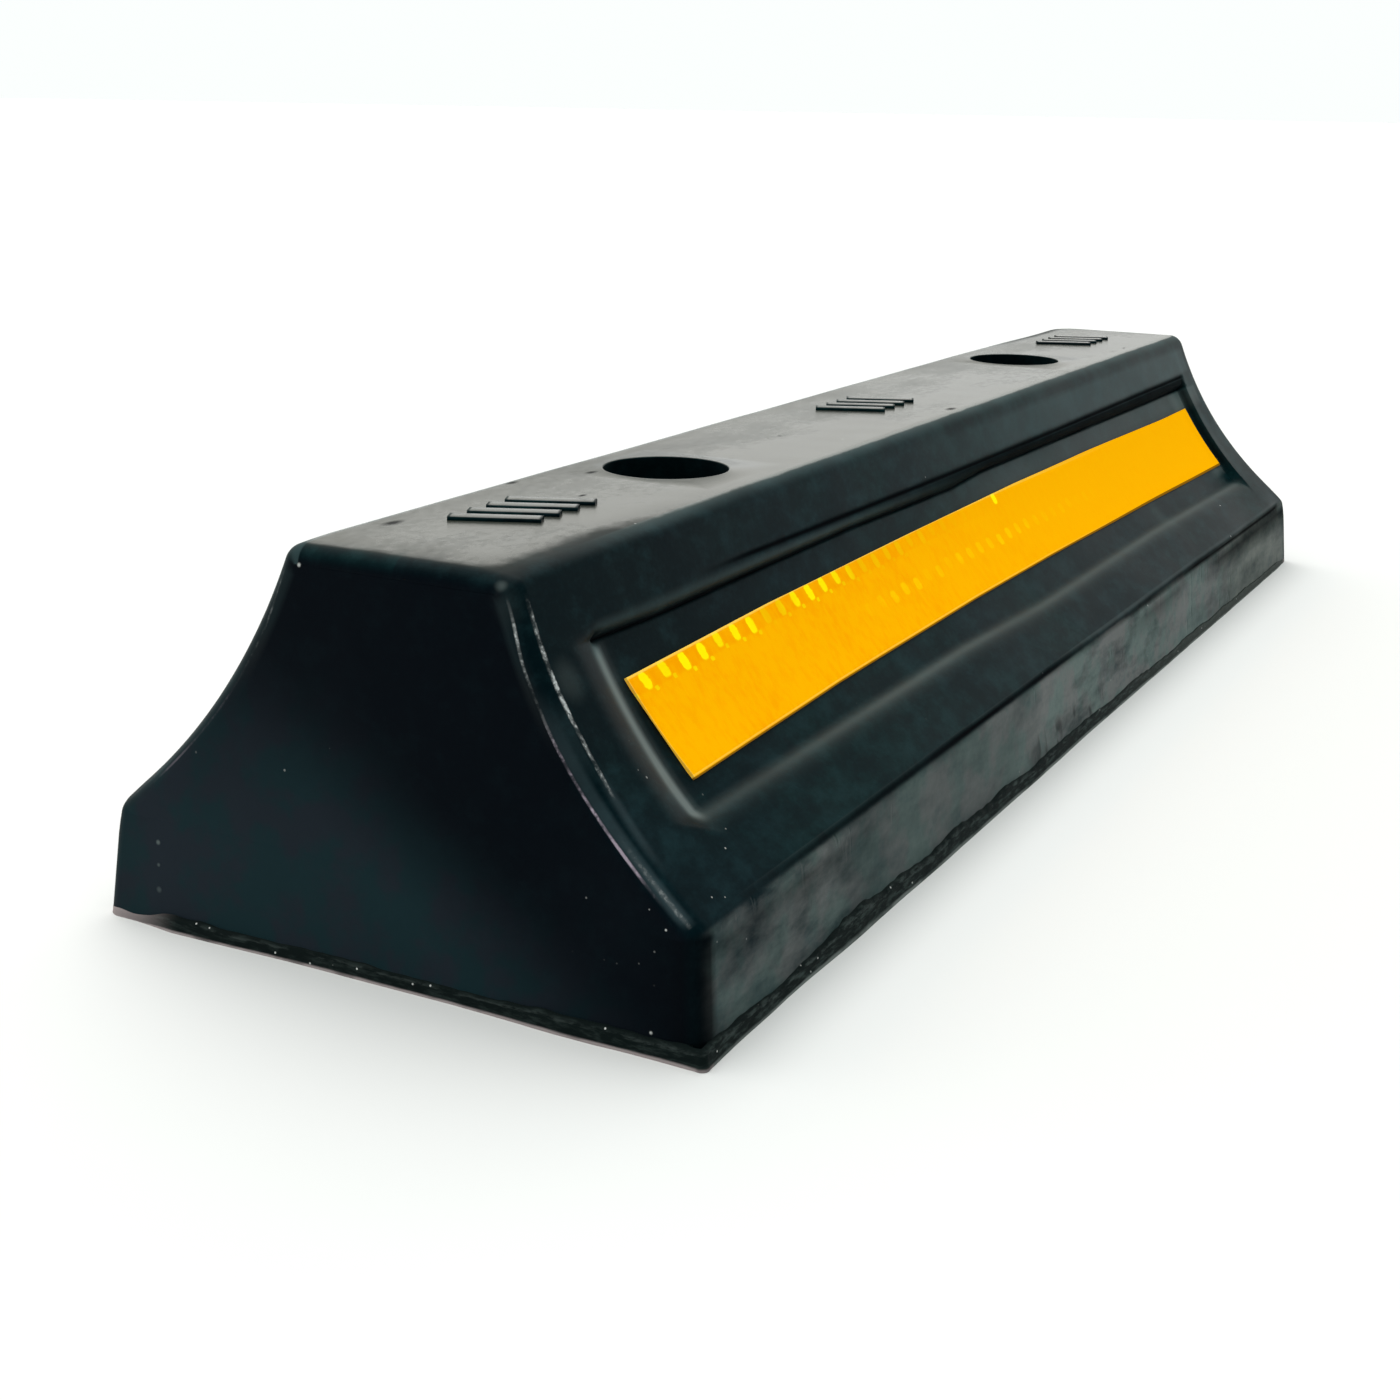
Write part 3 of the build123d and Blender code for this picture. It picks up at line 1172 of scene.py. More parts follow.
@dataclass
class SunkPanel:
    """Shallow panel along each flank: soft ramps at its ends and below, a steep one above."""

    depth: float = 3.5
    left_slope: Table = (
        (-264.0, 0.0), (-260.0, 0.15), (-255.0, 0.26), (-249.0, 0.26), (-246.5, 0.12), (-245.3, 0.0),
    )
    right_slope: Table = ((254.4, 0.0), (255.0, 1.9), (256.7, 1.9), (257.3, 0.0))
    low_slope: Table = ((13.5, 0.0), (17.5, 0.25), (21.2, 0.72), (22.6, 0.72), (24.0, 0.0))
    low_shift: Table = ((-240.0, 0.7), (-80.0, 0.7), (-10.0, -1.1), (120.0, -0.8), (240.0, -2.6))
    high_slope: Table = ((0.0, 0.0), (0.04, 4.0), (0.22, 2.2), (0.5, 0.6), (0.9, 0.3), (1.0, 0.0))
    foot_line: Table = (
        (-250.0, 68.4), (-223.0, 67.6), (-104.0, 68.2), (-25.0, 67.0), (5.0, 68.3), (211.0, 66.9),
    )
    rim_line: Table = ((-250.0, 72.6), (-171.0, 72.4), (-29.0, 71.2), (72.0, 70.8), (205.0, 70.9))
    foot_groove: float = 0.75
    foot_half: float = 0.48
    rim_groove: float = 0.9
    rim_half: float = 0.8
    corner_pit: float = 0.9
    pale_line: float = -250.8
    pale_half: float = 2.3

    def paleness(self, x: float, run: float, low: float, bead: float, stretch: float) -> float:
        """How pale the flank is at a point: painted highlights on the panel's ramps and bead, and paler
        stretches, some of them dust.

        Args:
            x: Place along the block, as seen on the front.
            run: Distance round the flank from the shoulder.
            low: 1 below the panel's lower ramp, falling to 0 at its foot.
            bead: 0 at the lower groove of the panel's upper edge, rising to 1 at the upper one.
            stretch: 1 along the panel and 0 past its ends.

        Returns:
            The paleness, which may pass 1.
        """
        foot = along(x, self.foot_line)
        rim = along(x, self.rim_line)
        # Painted highlights on the near ramp's rim and along the lower ramp
        bent = self.pale_line + 1.2 * (1.0 - ease(run, 18.0, 30.0))
        crest = hump(x, bent, self.pale_half) * ease(run, 19.0, 24.0) * ease(-run, -70.0, -64.0)
        crest *= 1.0 + 0.5 * hump(run, 30.0, 10.0)
        sill = 0.25 * hump(low, 0.5, 0.22) + 0.14 * (4.0 * low * (1.0 - low)) ** 1.5
        sill *= (0.58 + 0.42 * ease(x, -246.0, -130.0)) * ease(x, -255.0, -247.0) * ease(-x, -258.0, -246.0)
        below = 1.0 - ease(run, foot - 1.6, foot - 0.4)
        dust = (0.17 * ease(x, -70.0, 30.0) + 0.07 * ease(x, 190.0, 225.0)) * ease(run, 56.5, 60.5) * below
        dust += 0.45 * ease(x, 234.0, 247.0) * ease(-x, -255.2, -253.8) * ease(run, 24.0, 27.0) * below
        dust += 0.16 * ease(x, -80.0, 90.0) * ease(run, rim + 1.0, rim + 3.0)
        # Painted highlight on the rounded rim past the panel's far end
        dust += 0.09 * hump(x, 260.0, 3.0) * ease(run, 24.0, 30.0)
        lit = 0.14 * hump(bead, 0.50, 0.26) * ease(-x, -30.0, 80.0) * stretch
        return hypot(crest, sill) + dust + lit

    def hollow(self, x: float, run: float) -> Hollow:
        """What the panel does at a point of the flank.

        Args:
            x: Place along the block, as seen on the front.
            run: Distance round the flank from the shoulder.

        Returns:
            The hollow there.
        """
        left = 1.0 - rolled(x, self.left_slope) / rolled(0.0, self.left_slope)
        low = 1.0 - rolled(run - along(x, self.low_shift), self.low_slope) / rolled(60.0, self.low_slope)
        right = 1.0 - rolled(x, self.right_slope) / rolled(300.0, self.right_slope)
        foot = along(x, self.foot_line)
        rim = along(x, self.rim_line)
        bead = (run - foot) / (rim - foot)
        high = 1.0 - rolled(bead, self.high_slope) / rolled(1.0, self.high_slope)
        floor = 1.0 - min(1.0, hypot(left, low))
        stretch = ease(x, -252.0, -248.5) * ease(-x, -260.0, -255.0)
        worn = 0.8 + 0.4 * ripple(Vector((x, run, 0.0)), 24.0, 41.0)
        foot_cut = hump(run, foot + 0.15, self.foot_half) * stretch
        rim_cut = hump(run, rim + 0.3, self.rim_half) * ease(x, -205.0, -165.0) * stretch
        pit = hump(x, -249.8, 1.9) * hump(run, foot + 0.2, 1.3)
        depth = self.depth * floor * right * high + self.corner_pit * pit
        depth += worn * (self.foot_groove * foot_cut + self.rim_groove * rim_cut)
        shade = 0.8 * ease(bead, -0.1, 0.1) * ease(-bead, -1.0, -0.8) * ease(x, -150.0, 30.0) * stretch
        end_shade = 0.7 * hump(x, 255.8, 1.1) * ease(run, 26.0, 31.0) * ease(-run, -foot, 2.0 - foot)
        # The grooves, the corner pit, the upper bead and the far end ramp are painted dark as shade
        groove = max(foot_cut, rim_cut, pit, shade, end_shade)
        rub = self.paleness(x, run, low, bead, stretch)
        return Hollow(depth, min(1.0, rub), min(1.0, groove))


@dataclass
class Anchor:
    """One anchor hole: head hole, washer seat and shank hole."""

    x: float
    head: float
    shank: float
    seat: float
    seat_top: float
    seat_bottom: float
    lip: float = 0.5
    ridge: float = 0.22
    reach: float = 23.0
    mouth_off: tuple[float, float] = (-1.3, 2.2)
    lip_steps: int = 6
    wall_levels: tuple[float, ...] = (90.0, 78.0, 64.0, 50.0)
    polished_rings: int = 5
    lit_rings: int = 7

    def middle(self, z: float, height: float) -> Vector:
        """Middle of the hole at a height: over its seat low down, and a little off it at the mouth."""
        share = min(1.0, max(0.0, (z - self.seat_top) / (height - self.seat_top)))
        return Vector((self.x + self.mouth_off[0] * share, self.mouth_off[1] * share, z))

    def rings(self, height: float) -> list[tuple[float, float]]:
        """Radius and height of each ring of the hole's wall, from its mouth down.

        Args:
            height: Height of the block's top.

        Returns:
            The rings, in order.
        """
        made = [(self.head + 2.2 * self.lip, height)]
        made.append((self.head + 1.5 * self.lip, height + 0.8 * self.ridge))
        for i in range(self.lip_steps + 1):
            turn = i / self.lip_steps * pi / 2.0
            drop = self.lip * (1.0 - cos(turn))
            made.append((self.head + self.lip * (1.0 - sin(turn)), height + self.ridge - drop))
        made += [(self.head, z) for z in (*self.wall_levels, self.seat_top)]
        made += [(self.seat, z) for z in (self.seat_top, self.seat_bottom)]
        return made + [(self.shank, z) for z in (self.seat_bottom, 0.0)]


@dataclass
class CorePockets:
    """Drafted pockets in the underside, in two rows."""

    stations: tuple[float, ...] = (-221.75, -82.9, -27.6, 27.6, 82.9, 221.75)
    row: float = 31.0
    half: float = 23.0
    corner: float = 8.0
    depth: float = 38.0
    draft: float = 3.0
    roof_radius: float = 4.0
    corner_steps: int = 6
    roof_steps: int = 5
    wall_levels: tuple[float, ...] = (0.0, 8.0, 20.0)

    def loop(self, x: float, y: float, z: float, shrink: float) -> list[Vector]:
        """Rounded square of a pocket at a height.

        Args:
            x: Middle of the pocket along the block.
            y: Middle of the pocket across the block.
            z: Height.
            shrink: How much smaller its half side is there than at the floor.

        Returns:
            The loop's points.
        """
        radius = self.corner - shrink
        made = []
        for quarter in range(4):
            lean = quarter * pi / 2.0 + pi / 4.0
            core_x = x + (self.half - self.corner) * (1.0 if cos(lean) > 0.0 else -1.0)
            core_y = y + (self.half - self.corner) * (1.0 if sin(lean) > 0.0 else -1.0)
            for i in range(self.corner_steps + 1):
                turn = (quarter + i / self.corner_steps) * pi / 2.0
                made.append(Vector((core_x + radius * cos(turn), core_y + radius * sin(turn), z)))
        return made

    def add(self, draft: MeshDraft) -> None:
        """Adds the pockets' walls and roofs.

        Args:
            draft: Mesh in the making.
        """
        lean = tan(radians(self.draft))
        levels = [(z, z * lean) for z in (*self.wall_levels, self.depth - self.roof_radius)]
        shrunk = levels[-1][1]
        for i in range(1, self.roof_steps + 1):
            turn = i / self.roof_steps * pi / 2.0
            z = self.depth - self.roof_radius * (1.0 - sin(turn))
            levels.append((z, shrunk + self.roof_radius * (1.0 - cos(turn))))
        for x in self.stations:
            for y in (-self.row, self.row):
                rows = [[draft.point(p) for p in self.loop(x, y, z, shrink)] for z, shrink in levels]
                draft.sheet(rows, closed=True)
                draft.faces.append(tuple(rows[-1]))


class Placed(NamedTuple):
    """A point of the block's skin: its place, distance round the end edge, paleness from painted highlights
    and dust, and painted shade.
    """

    spot: Vector
    arc: float
    rub: float
    groove: float


class Patch(NamedTuple):
    """Open patch of the top: its first and last line across the block, and its front and rear points."""

    first: int
    last: int
    front: int
    rear: int


@dataclass
class RubberBlock:
    """The moulding itself: block, panels, anchor holes and core pockets in one skin."""

    half_length: float
    profile: BlockProfile
    panel: SunkPanel
    anchors: list[Anchor]
    pockets: CorePockets
    end_draft: float = 5.8
    end_radius: float = 4.8
    last_line: float = 268.0
    end_zone: float = 247.0
    end_step: float = 0.68
    hole_step: float = 1.9
    plain_step: float = 2.4
    end_shares: tuple[float, ...] = (0.4, 0.75, 0.92, 1.0)
    end_turns: int = 9
    crease: float = 0.6
    crease_line: Table = ((-230.0, 0.63), (-50.0, 0.63), (10.0, 0.40), (130.0, 0.36), (220.0, 0.18))
    crease_wear: Table = (
        (-230.0, 0.55), (-120.0, 0.95), (-45.0, 0.85), (0.0, 0.40), (50.0, 0.80), (200.0, 1.0),
    )
    wave: float = 0.16
    top_wave: float = 0.05
    end_droop: float = 0.8
    corner_droop: float = 1.1
    corner_shade: float = 0.8
    # Share of the edge lines, wear with painted highlights, on the other two corners
    far_wear: float = 0.15
    tight_corners: tuple[float, float] = (0.20, 0.50)
    soft_shoulder: float = 0.55

    def stations(self) -> list[Station]:
        """Every line across the block.

        Returns:
            The lines, from the left end to the right.
        """
        stops = [-self.last_line, -self.end_zone]
        steps = [self.end_step, self.plain_step]
        for anchor in self.anchors:
            stops += [anchor.x - anchor.reach, anchor.x + anchor.reach]
            steps += [self.hole_step, self.plain_step]
        stops += [self.end_zone, self.last_line]
        steps += [self.end_step]
        spans = zip(stops, stops[1:], steps)
        middle = [x for start, stop, step in spans for x in spread(start, stop, step)] + [self.last_line]
        end = [(share, 0.0) for share in self.end_shares]
        end += [(1.0, (i + 1) / self.end_turns) for i in range(self.end_turns)]
        left = [Station(-self.last_line, out, turn) for out, turn in reversed(end)]
        right = [Station(self.last_line, out, turn) for out, turn in end]
        return left + [Station(x, 0.0, 0.0) for x in middle] + right

    def end_out(self, sign: float) -> Vector:
        """Outward direction of an end face."""
        return Vector((sign * cos(radians(self.end_draft)), 0.0, sin(radians(self.end_draft))))

    def rounding(self, station: Station, point: ProfilePoint) -> float:
        """Radius of an end's edge, which is tighter down two of the wall's corners.

        Args:
            station: Line across the block.
            point: Point of the outline.

        Returns:
            The radius there.
        """
        low = 1.0 if point.zone is Zone.WALL else 0.0
        if point.zone is Zone.SHOULDER:
            low = 1.0 - ease(point.share, 0.0, 1.0)
        tight = self.tight_corners[0 if station.x < 0.0 else 1] if station.x * point.y < 0.0 else 0.0
        return self.end_radius * (1.0 - tight * low)

    def core_reach(self, z: float, radius: float) -> float:
        """How far along X the centre of an end's edge rounding lies, at a height and with a radius."""
        lean = radians(self.end_draft)
        return self.half_length - radius / cos(lean) - z * tan(lean)

    def droop(self, x: float, y: float) -> float:
        """How far the top hangs below its level, towards its left end and two of its corners.

        Args:
            x: Place along the block.
            y: Place across the block.

        Returns:
            The drop there.
        """
        seen = x if y < 0.0 else -x
        corner = ease(-seen, 140.0, 255.0) * ease(abs(y), 15.0, 31.0) ** 2
        return self.end_droop * ease(-x, 255.0, 278.0) ** 2 + self.corner_droop * corner

    def wall_shade(self, seen: float) -> float:
        """How dark the wall is just under its shoulder: most at the far end, and a little at the near one.

        Args:
            seen: Place along the wall, as seen on the front.

        Returns:
            The darkness, from 0 to 1.
        """
        middle = 0.58 * hump(seen, 74.0, 32.0)
        near = max(0.40 * ease(-seen, 175.0, 225.0), 0.60 * hump(seen, -232.0, 20.0))
        return max(0.88 * ease(seen, 132.0, 176.0), middle, near)

    def corner_dark(self, station: Station, point: ProfilePoint) -> float:
        """How much painted shade the wall and the shoulder have round their corners at the ends.

        Args:
            station: Line across the block.
            point: Point of the wall or the shoulder.

        Returns:
            The darkness, from 0 to 1.
        """
        dark = self.corner_shade * ease(station.out, 0.8, 1.0) * (1.0 - 0.5 * ease(station.turn, 0.3, 1.0))
        dark *= 1.0 if station.x * point.y > 0.0 else 0.3
        return dark * (1.0 if point.zone is Zone.WALL else 1.0 - ease(point.share, 0.0, 0.7))

    def creased(self, seen: float, point: ProfilePoint, spot: Vector) -> Hollow:
        """Worn groove along the shoulder, painted dark as shade, with a painted highlight line above it.

        Args:
            seen: Place along the block, as seen on the front.
            point: Point of the shoulder.
            spot: Its place.

        Returns:
            The hollow there.
        """
        worn = along(seen, self.crease_wear) * (1.0 + 0.35 * ripple(spot, 38.0, 4.0))
        stretch = ease(seen, -272.0, -228.0) * ease(-abs(seen), -276.0, -266.0)
        line = along(seen, self.crease_line)
        groove = hump(point.share, line, 0.27 + 0.10 * ripple(spot, 27.0, 6.0)) * stretch
        rub = 0.16 * hump(point.share, line + 0.45, 0.16) * stretch
        return Hollow(self.crease * worn * groove, rub, groove * min(1.0, worn))

    def place(self, station: Station, point: ProfilePoint) -> Placed:
        """Where a point of the outline comes on a line across the block.

        Args:
            station: The line.
            point: The point of the outline.

        Returns:
            The point of the skin.
        """
        zone = point.zone
        sign = 1.0 if station.x > 0.0 else -1.0
        side = Vector((0.0, point.out_y, point.out_z))
        radius = self.rounding(station, point)
        core = Vector((station.x, point.y, point.z)) - side * radius
        reach = self.core_reach(core.z, radius)
        core.x += (sign * reach - station.x) * station.out
        if zone in (Zone.TOP, Zone.EDGE):
            level = 1.0 if zone is Zone.TOP else ease(point.share, 0.0, 1.0)
            core.z -= self.droop(core.x, point.y) * level
        end = self.end_out(sign)
        facing = side.slerp(end, station.turn)
        spot = core + facing * radius
        arc = station.turn * acos(side.dot(end)) * radius
        if station.turn == 0.0:
            arc = abs(core.x) - reach
        seen = core.x if point.y < 0.0 else -core.x
        dip = Hollow(0.0, 0.0, 0.0)
        # Painted highlight where the flank turns round the end edge
        if zone is Zone.FLANK and station.turn > 0.0:
            dip = dip._replace(rub=0.06 * ease(spot.z, 58.0, 82.0) * ease(station.turn, 0.55, 1.0))
        # Painted highlight along the top's rounded edges
        if zone is Zone.EDGE:
            ragged = 1.0 + 0.6 * ripple(spot, 17.0, 9.0)
            rub = 0.20 * ease(point.share, 0.15, 0.7) * ragged * ease(seen, -265.0, -200.0)
            dip = dip._replace(rub=rub)
        if zone is Zone.FLANK and station.turn == 0.0 and station.out == 0.0:
            dip = self.panel.hollow(seen, point.run)
        if zone is Zone.SHOULDER and station.turn == 0.0:
            dip = self.creased(seen, point, spot)
        groove = dip.groove
        # Painted shade on the wall under the shoulder and round the end corners
        if zone is Zone.WALL:
            groove = self.wall_shade(seen) * ease(point.share, 0.58, 1.0)
            groove *= 1.0 - ease(station.turn, 0.2, 0.6)
        if zone in (Zone.WALL, Zone.SHOULDER):
            groove = max(groove, self.corner_dark(station, point))
        spot -= side * dip.depth
        if station.x * point.y < 0.0 and zone in (Zone.WALL, Zone.SHOULDER, Zone.FLANK):
            soft = hump(point.z, self.profile.shoulder_height - 1.0, 4.0) * ease(abs(core.x), 255.0, 275.0)
            spot -= side * (self.soft_shoulder * soft)
        if zone is Zone.TOP:
            spot.z += 0.35 * self.wave * ripple(spot, 46.0, 1.0) + self.top_wave * ripple(spot, 13.0, 3.0)
        else:
            spot += facing * (self.wave * ripple(spot, 46.0, 1.0))
        if zone is Zone.WALL and point.share == 0.0:
            spot.z = 0.0
        return Placed(spot, arc, dip.rub, groove)

    def polish(self, station: Station, point: ProfilePoint, x: float) -> float:
        """How polished the top is at a point: less round its edges, and least by two of its corners.

        Args:
            station: Line across the block.
            point: Point of the outline.
            x: Place of the point along the block.

        Returns:
            The polish, from 0 to a little over 1.
        """
        if point.zone not in (Zone.TOP, Zone.EDGE):
            return 0.0
        level = 1.0 if point.zone is Zone.TOP else ease(point.share, 0.58, 1.0)
        seen = x if point.y < 0.0 else -x
        corner = ease(-seen, 150.0, 245.0) * ease(abs(point.y), 18.5, 27.0)
        edge = 0.25 * ease(seen, -170.0, -100.0) * ease(abs(point.y), 18.0, 24.0)
        end = (1.0 - ease(station.turn, 0.0, 0.3)) * (1.0 - 0.5 * ease(abs(x), 267.5, 272.0))
        return level * end * (1.0 + edge - 0.8 * corner)

    def add_end(self, draft: MeshDraft, loop: list[int], half: int, sign: float) -> None:
        """Fills an end face with a grid between the front and rear outlines.

        Args:
            draft: Mesh in the making.
            loop: Point numbers round the end's outline.
            half: How many of them make up one half.
            sign: Which end it is.
        """
        top = loop[half - 1 : len(loop) - half + 1]
        first = draft.points[top[0]].y
        last = draft.points[top[-1]].y
        shares = [(draft.points[i].y - first) / (last - first) for i in top]
        groove_and_shade_marks = draft.marks["groove"]
        rows = []
        for j in range(half - 1):
            front = draft.points[loop[j]]
            rear = draft.points[loop[-1 - j]]
            row = [loop[j]]
            for share in shares[1:-1]:
                spot = front.lerp(rear, share)
                edge = min(share, 1.0 - share)
                swell = self.wave * ripple(spot, 55.0, 7.0) * ease(edge, 0.0, 0.2)
                if j > 0:
                    spot += self.end_out(sign) * swell
                # Painted shade carries on from the outline onto the edges of the grid
                groove = groove_and_shade_marks[loop[j]] * (1.0 - ease(share, 0.0, 0.05))
                groove += groove_and_shade_marks[loop[-1 - j]] * ease(share, 0.95, 1.0)
                row.append(draft.point(spot, arc=PAST_EDGE, end=1.0, groove=groove))
            rows.append(row + [loop[-1 - j]])
        draft.sheet(rows + [top])

    def add_hole(self, draft: MeshDraft, mouth: list[int], anchor: Anchor) -> None:
        """Adds the wall of an anchor hole inside its open patch of the top.

        Args:
            draft: Mesh in the making.
            mouth: Point numbers round the patch.
            anchor: The hole.
        """
        rows = [mouth]
        turns = [atan2(draft.points[i].y, draft.points[i].x - anchor.x) for i in mouth]
        for count, (radius, z) in enumerate(anchor.rings(self.profile.height)):
            middle = anchor.middle(z, self.profile.height)
            ring = [middle + Vector((radius * cos(t), radius * sin(t), 0.0)) for t in turns]
            top = 1.0 if count < anchor.polished_rings else 0.0
            # Rings deep in the hole are painted dark as shade
            dark = 0.0 if count < anchor.lit_rings else 0.5
            rows.append([draft.point(p, top=top, groove=dark, arc=BEFORE_EDGE) for p in ring])
        draft.sheet(rows, closed=True)

    def marks(self, station: Station, point: ProfilePoint, placed: Placed) -> Marks:
        """Numbers that a point of the skin carries.

        Args:
            station: Line across the block.
            point: Point of the outline.
            placed: The point of the skin.

        Returns:
            The numbers.
        """
        wall = 1.0 if point.zone is Zone.WALL else 0.0
        if point.zone is Zone.SHOULDER:
            wall = 1.0 - ease(point.share, 0.3, 0.6)
        flank = 0.0
        if point.zone is Zone.FLANK:
            flank = ease(point.run, 0.5, 6.0) * (1.0 if station.x * point.y > 0.0 else self.far_wear)
        return Marks(
            top=self.polish(station, point, placed.spot.x),
            wall=wall * (1.0 - ease(station.turn, 0.0, 0.5)),
            arc=placed.arc,
            flank=flank,
            rub=placed.rub,
            groove=placed.groove,
            end=ease(station.turn, 0.4, 1.0),
        )

    def patch(self, anchor: Anchor, lines: list[Station], outline: list[ProfilePoint]) -> Patch:
        """Patch of the top that an anchor hole opens.

        Args:
            anchor: The hole.
            lines: Lines across the block.
            outline: Points of the outline.

        Returns:
            The patch.
        """
        reach = anchor.reach + 0.01
        i = [n for n, s in enumerate(lines) if s.out == 0.0 and abs(s.x - anchor.x) < reach]
        j = [n for n, p in enumerate(outline) if p.zone is Zone.TOP and abs(p.y) < reach]
        return Patch(i[0], i[-1], j[0], j[-1])

    def build(self, rubber: bpy.types.Material) -> bpy.types.Object:
        """Makes the moulding.

        Args:
            rubber: Its material.

        Returns:
            The finished piece.
        """
        draft = MeshDraft(*Marks._fields)
        outline, half = self.profile.points()
        lines = self.stations()
        rows = []
        for line in lines:
            row = []
            for point in outline:
                placed = self.place(line, point)
                row.append(draft.point(placed.spot, **self.marks(line, point, placed)._asdict()))
            rows.append(row)
        patches = [self.patch(anchor, lines, outline) for anchor in self.anchors]
        for i, (low, high) in enumerate(zip(rows, rows[1:])):
            for j in range(len(outline) - 1):
                if not any(p.first <= i < p.last and p.front <= j < p.rear for p in patches):
                    draft.faces.append((low[j], low[j + 1], high[j + 1], high[j]))
        for anchor, (a, b, c, d) in zip(self.anchors, patches):
            mouth = [rows[i][c] for i in range(a, b)] + [rows[b][j] for j in range(c, d)]
            mouth += [rows[i][d] for i in range(b, a, -1)] + [rows[a][j] for j in range(d, c, -1)]
            self.add_hole(draft, mouth, anchor)
        self.add_end(draft, rows[0], half, -1.0)
        self.add_end(draft, rows[-1], half, 1.0)
        self.pockets.add(draft)
        piece = finished("moulded_block", draft.mesh("moulded_block"), fill_floor=True)
        piece.data.materials.append(rubber)
        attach(piece, ROOT)
        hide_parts("rubber_body")
        return piece


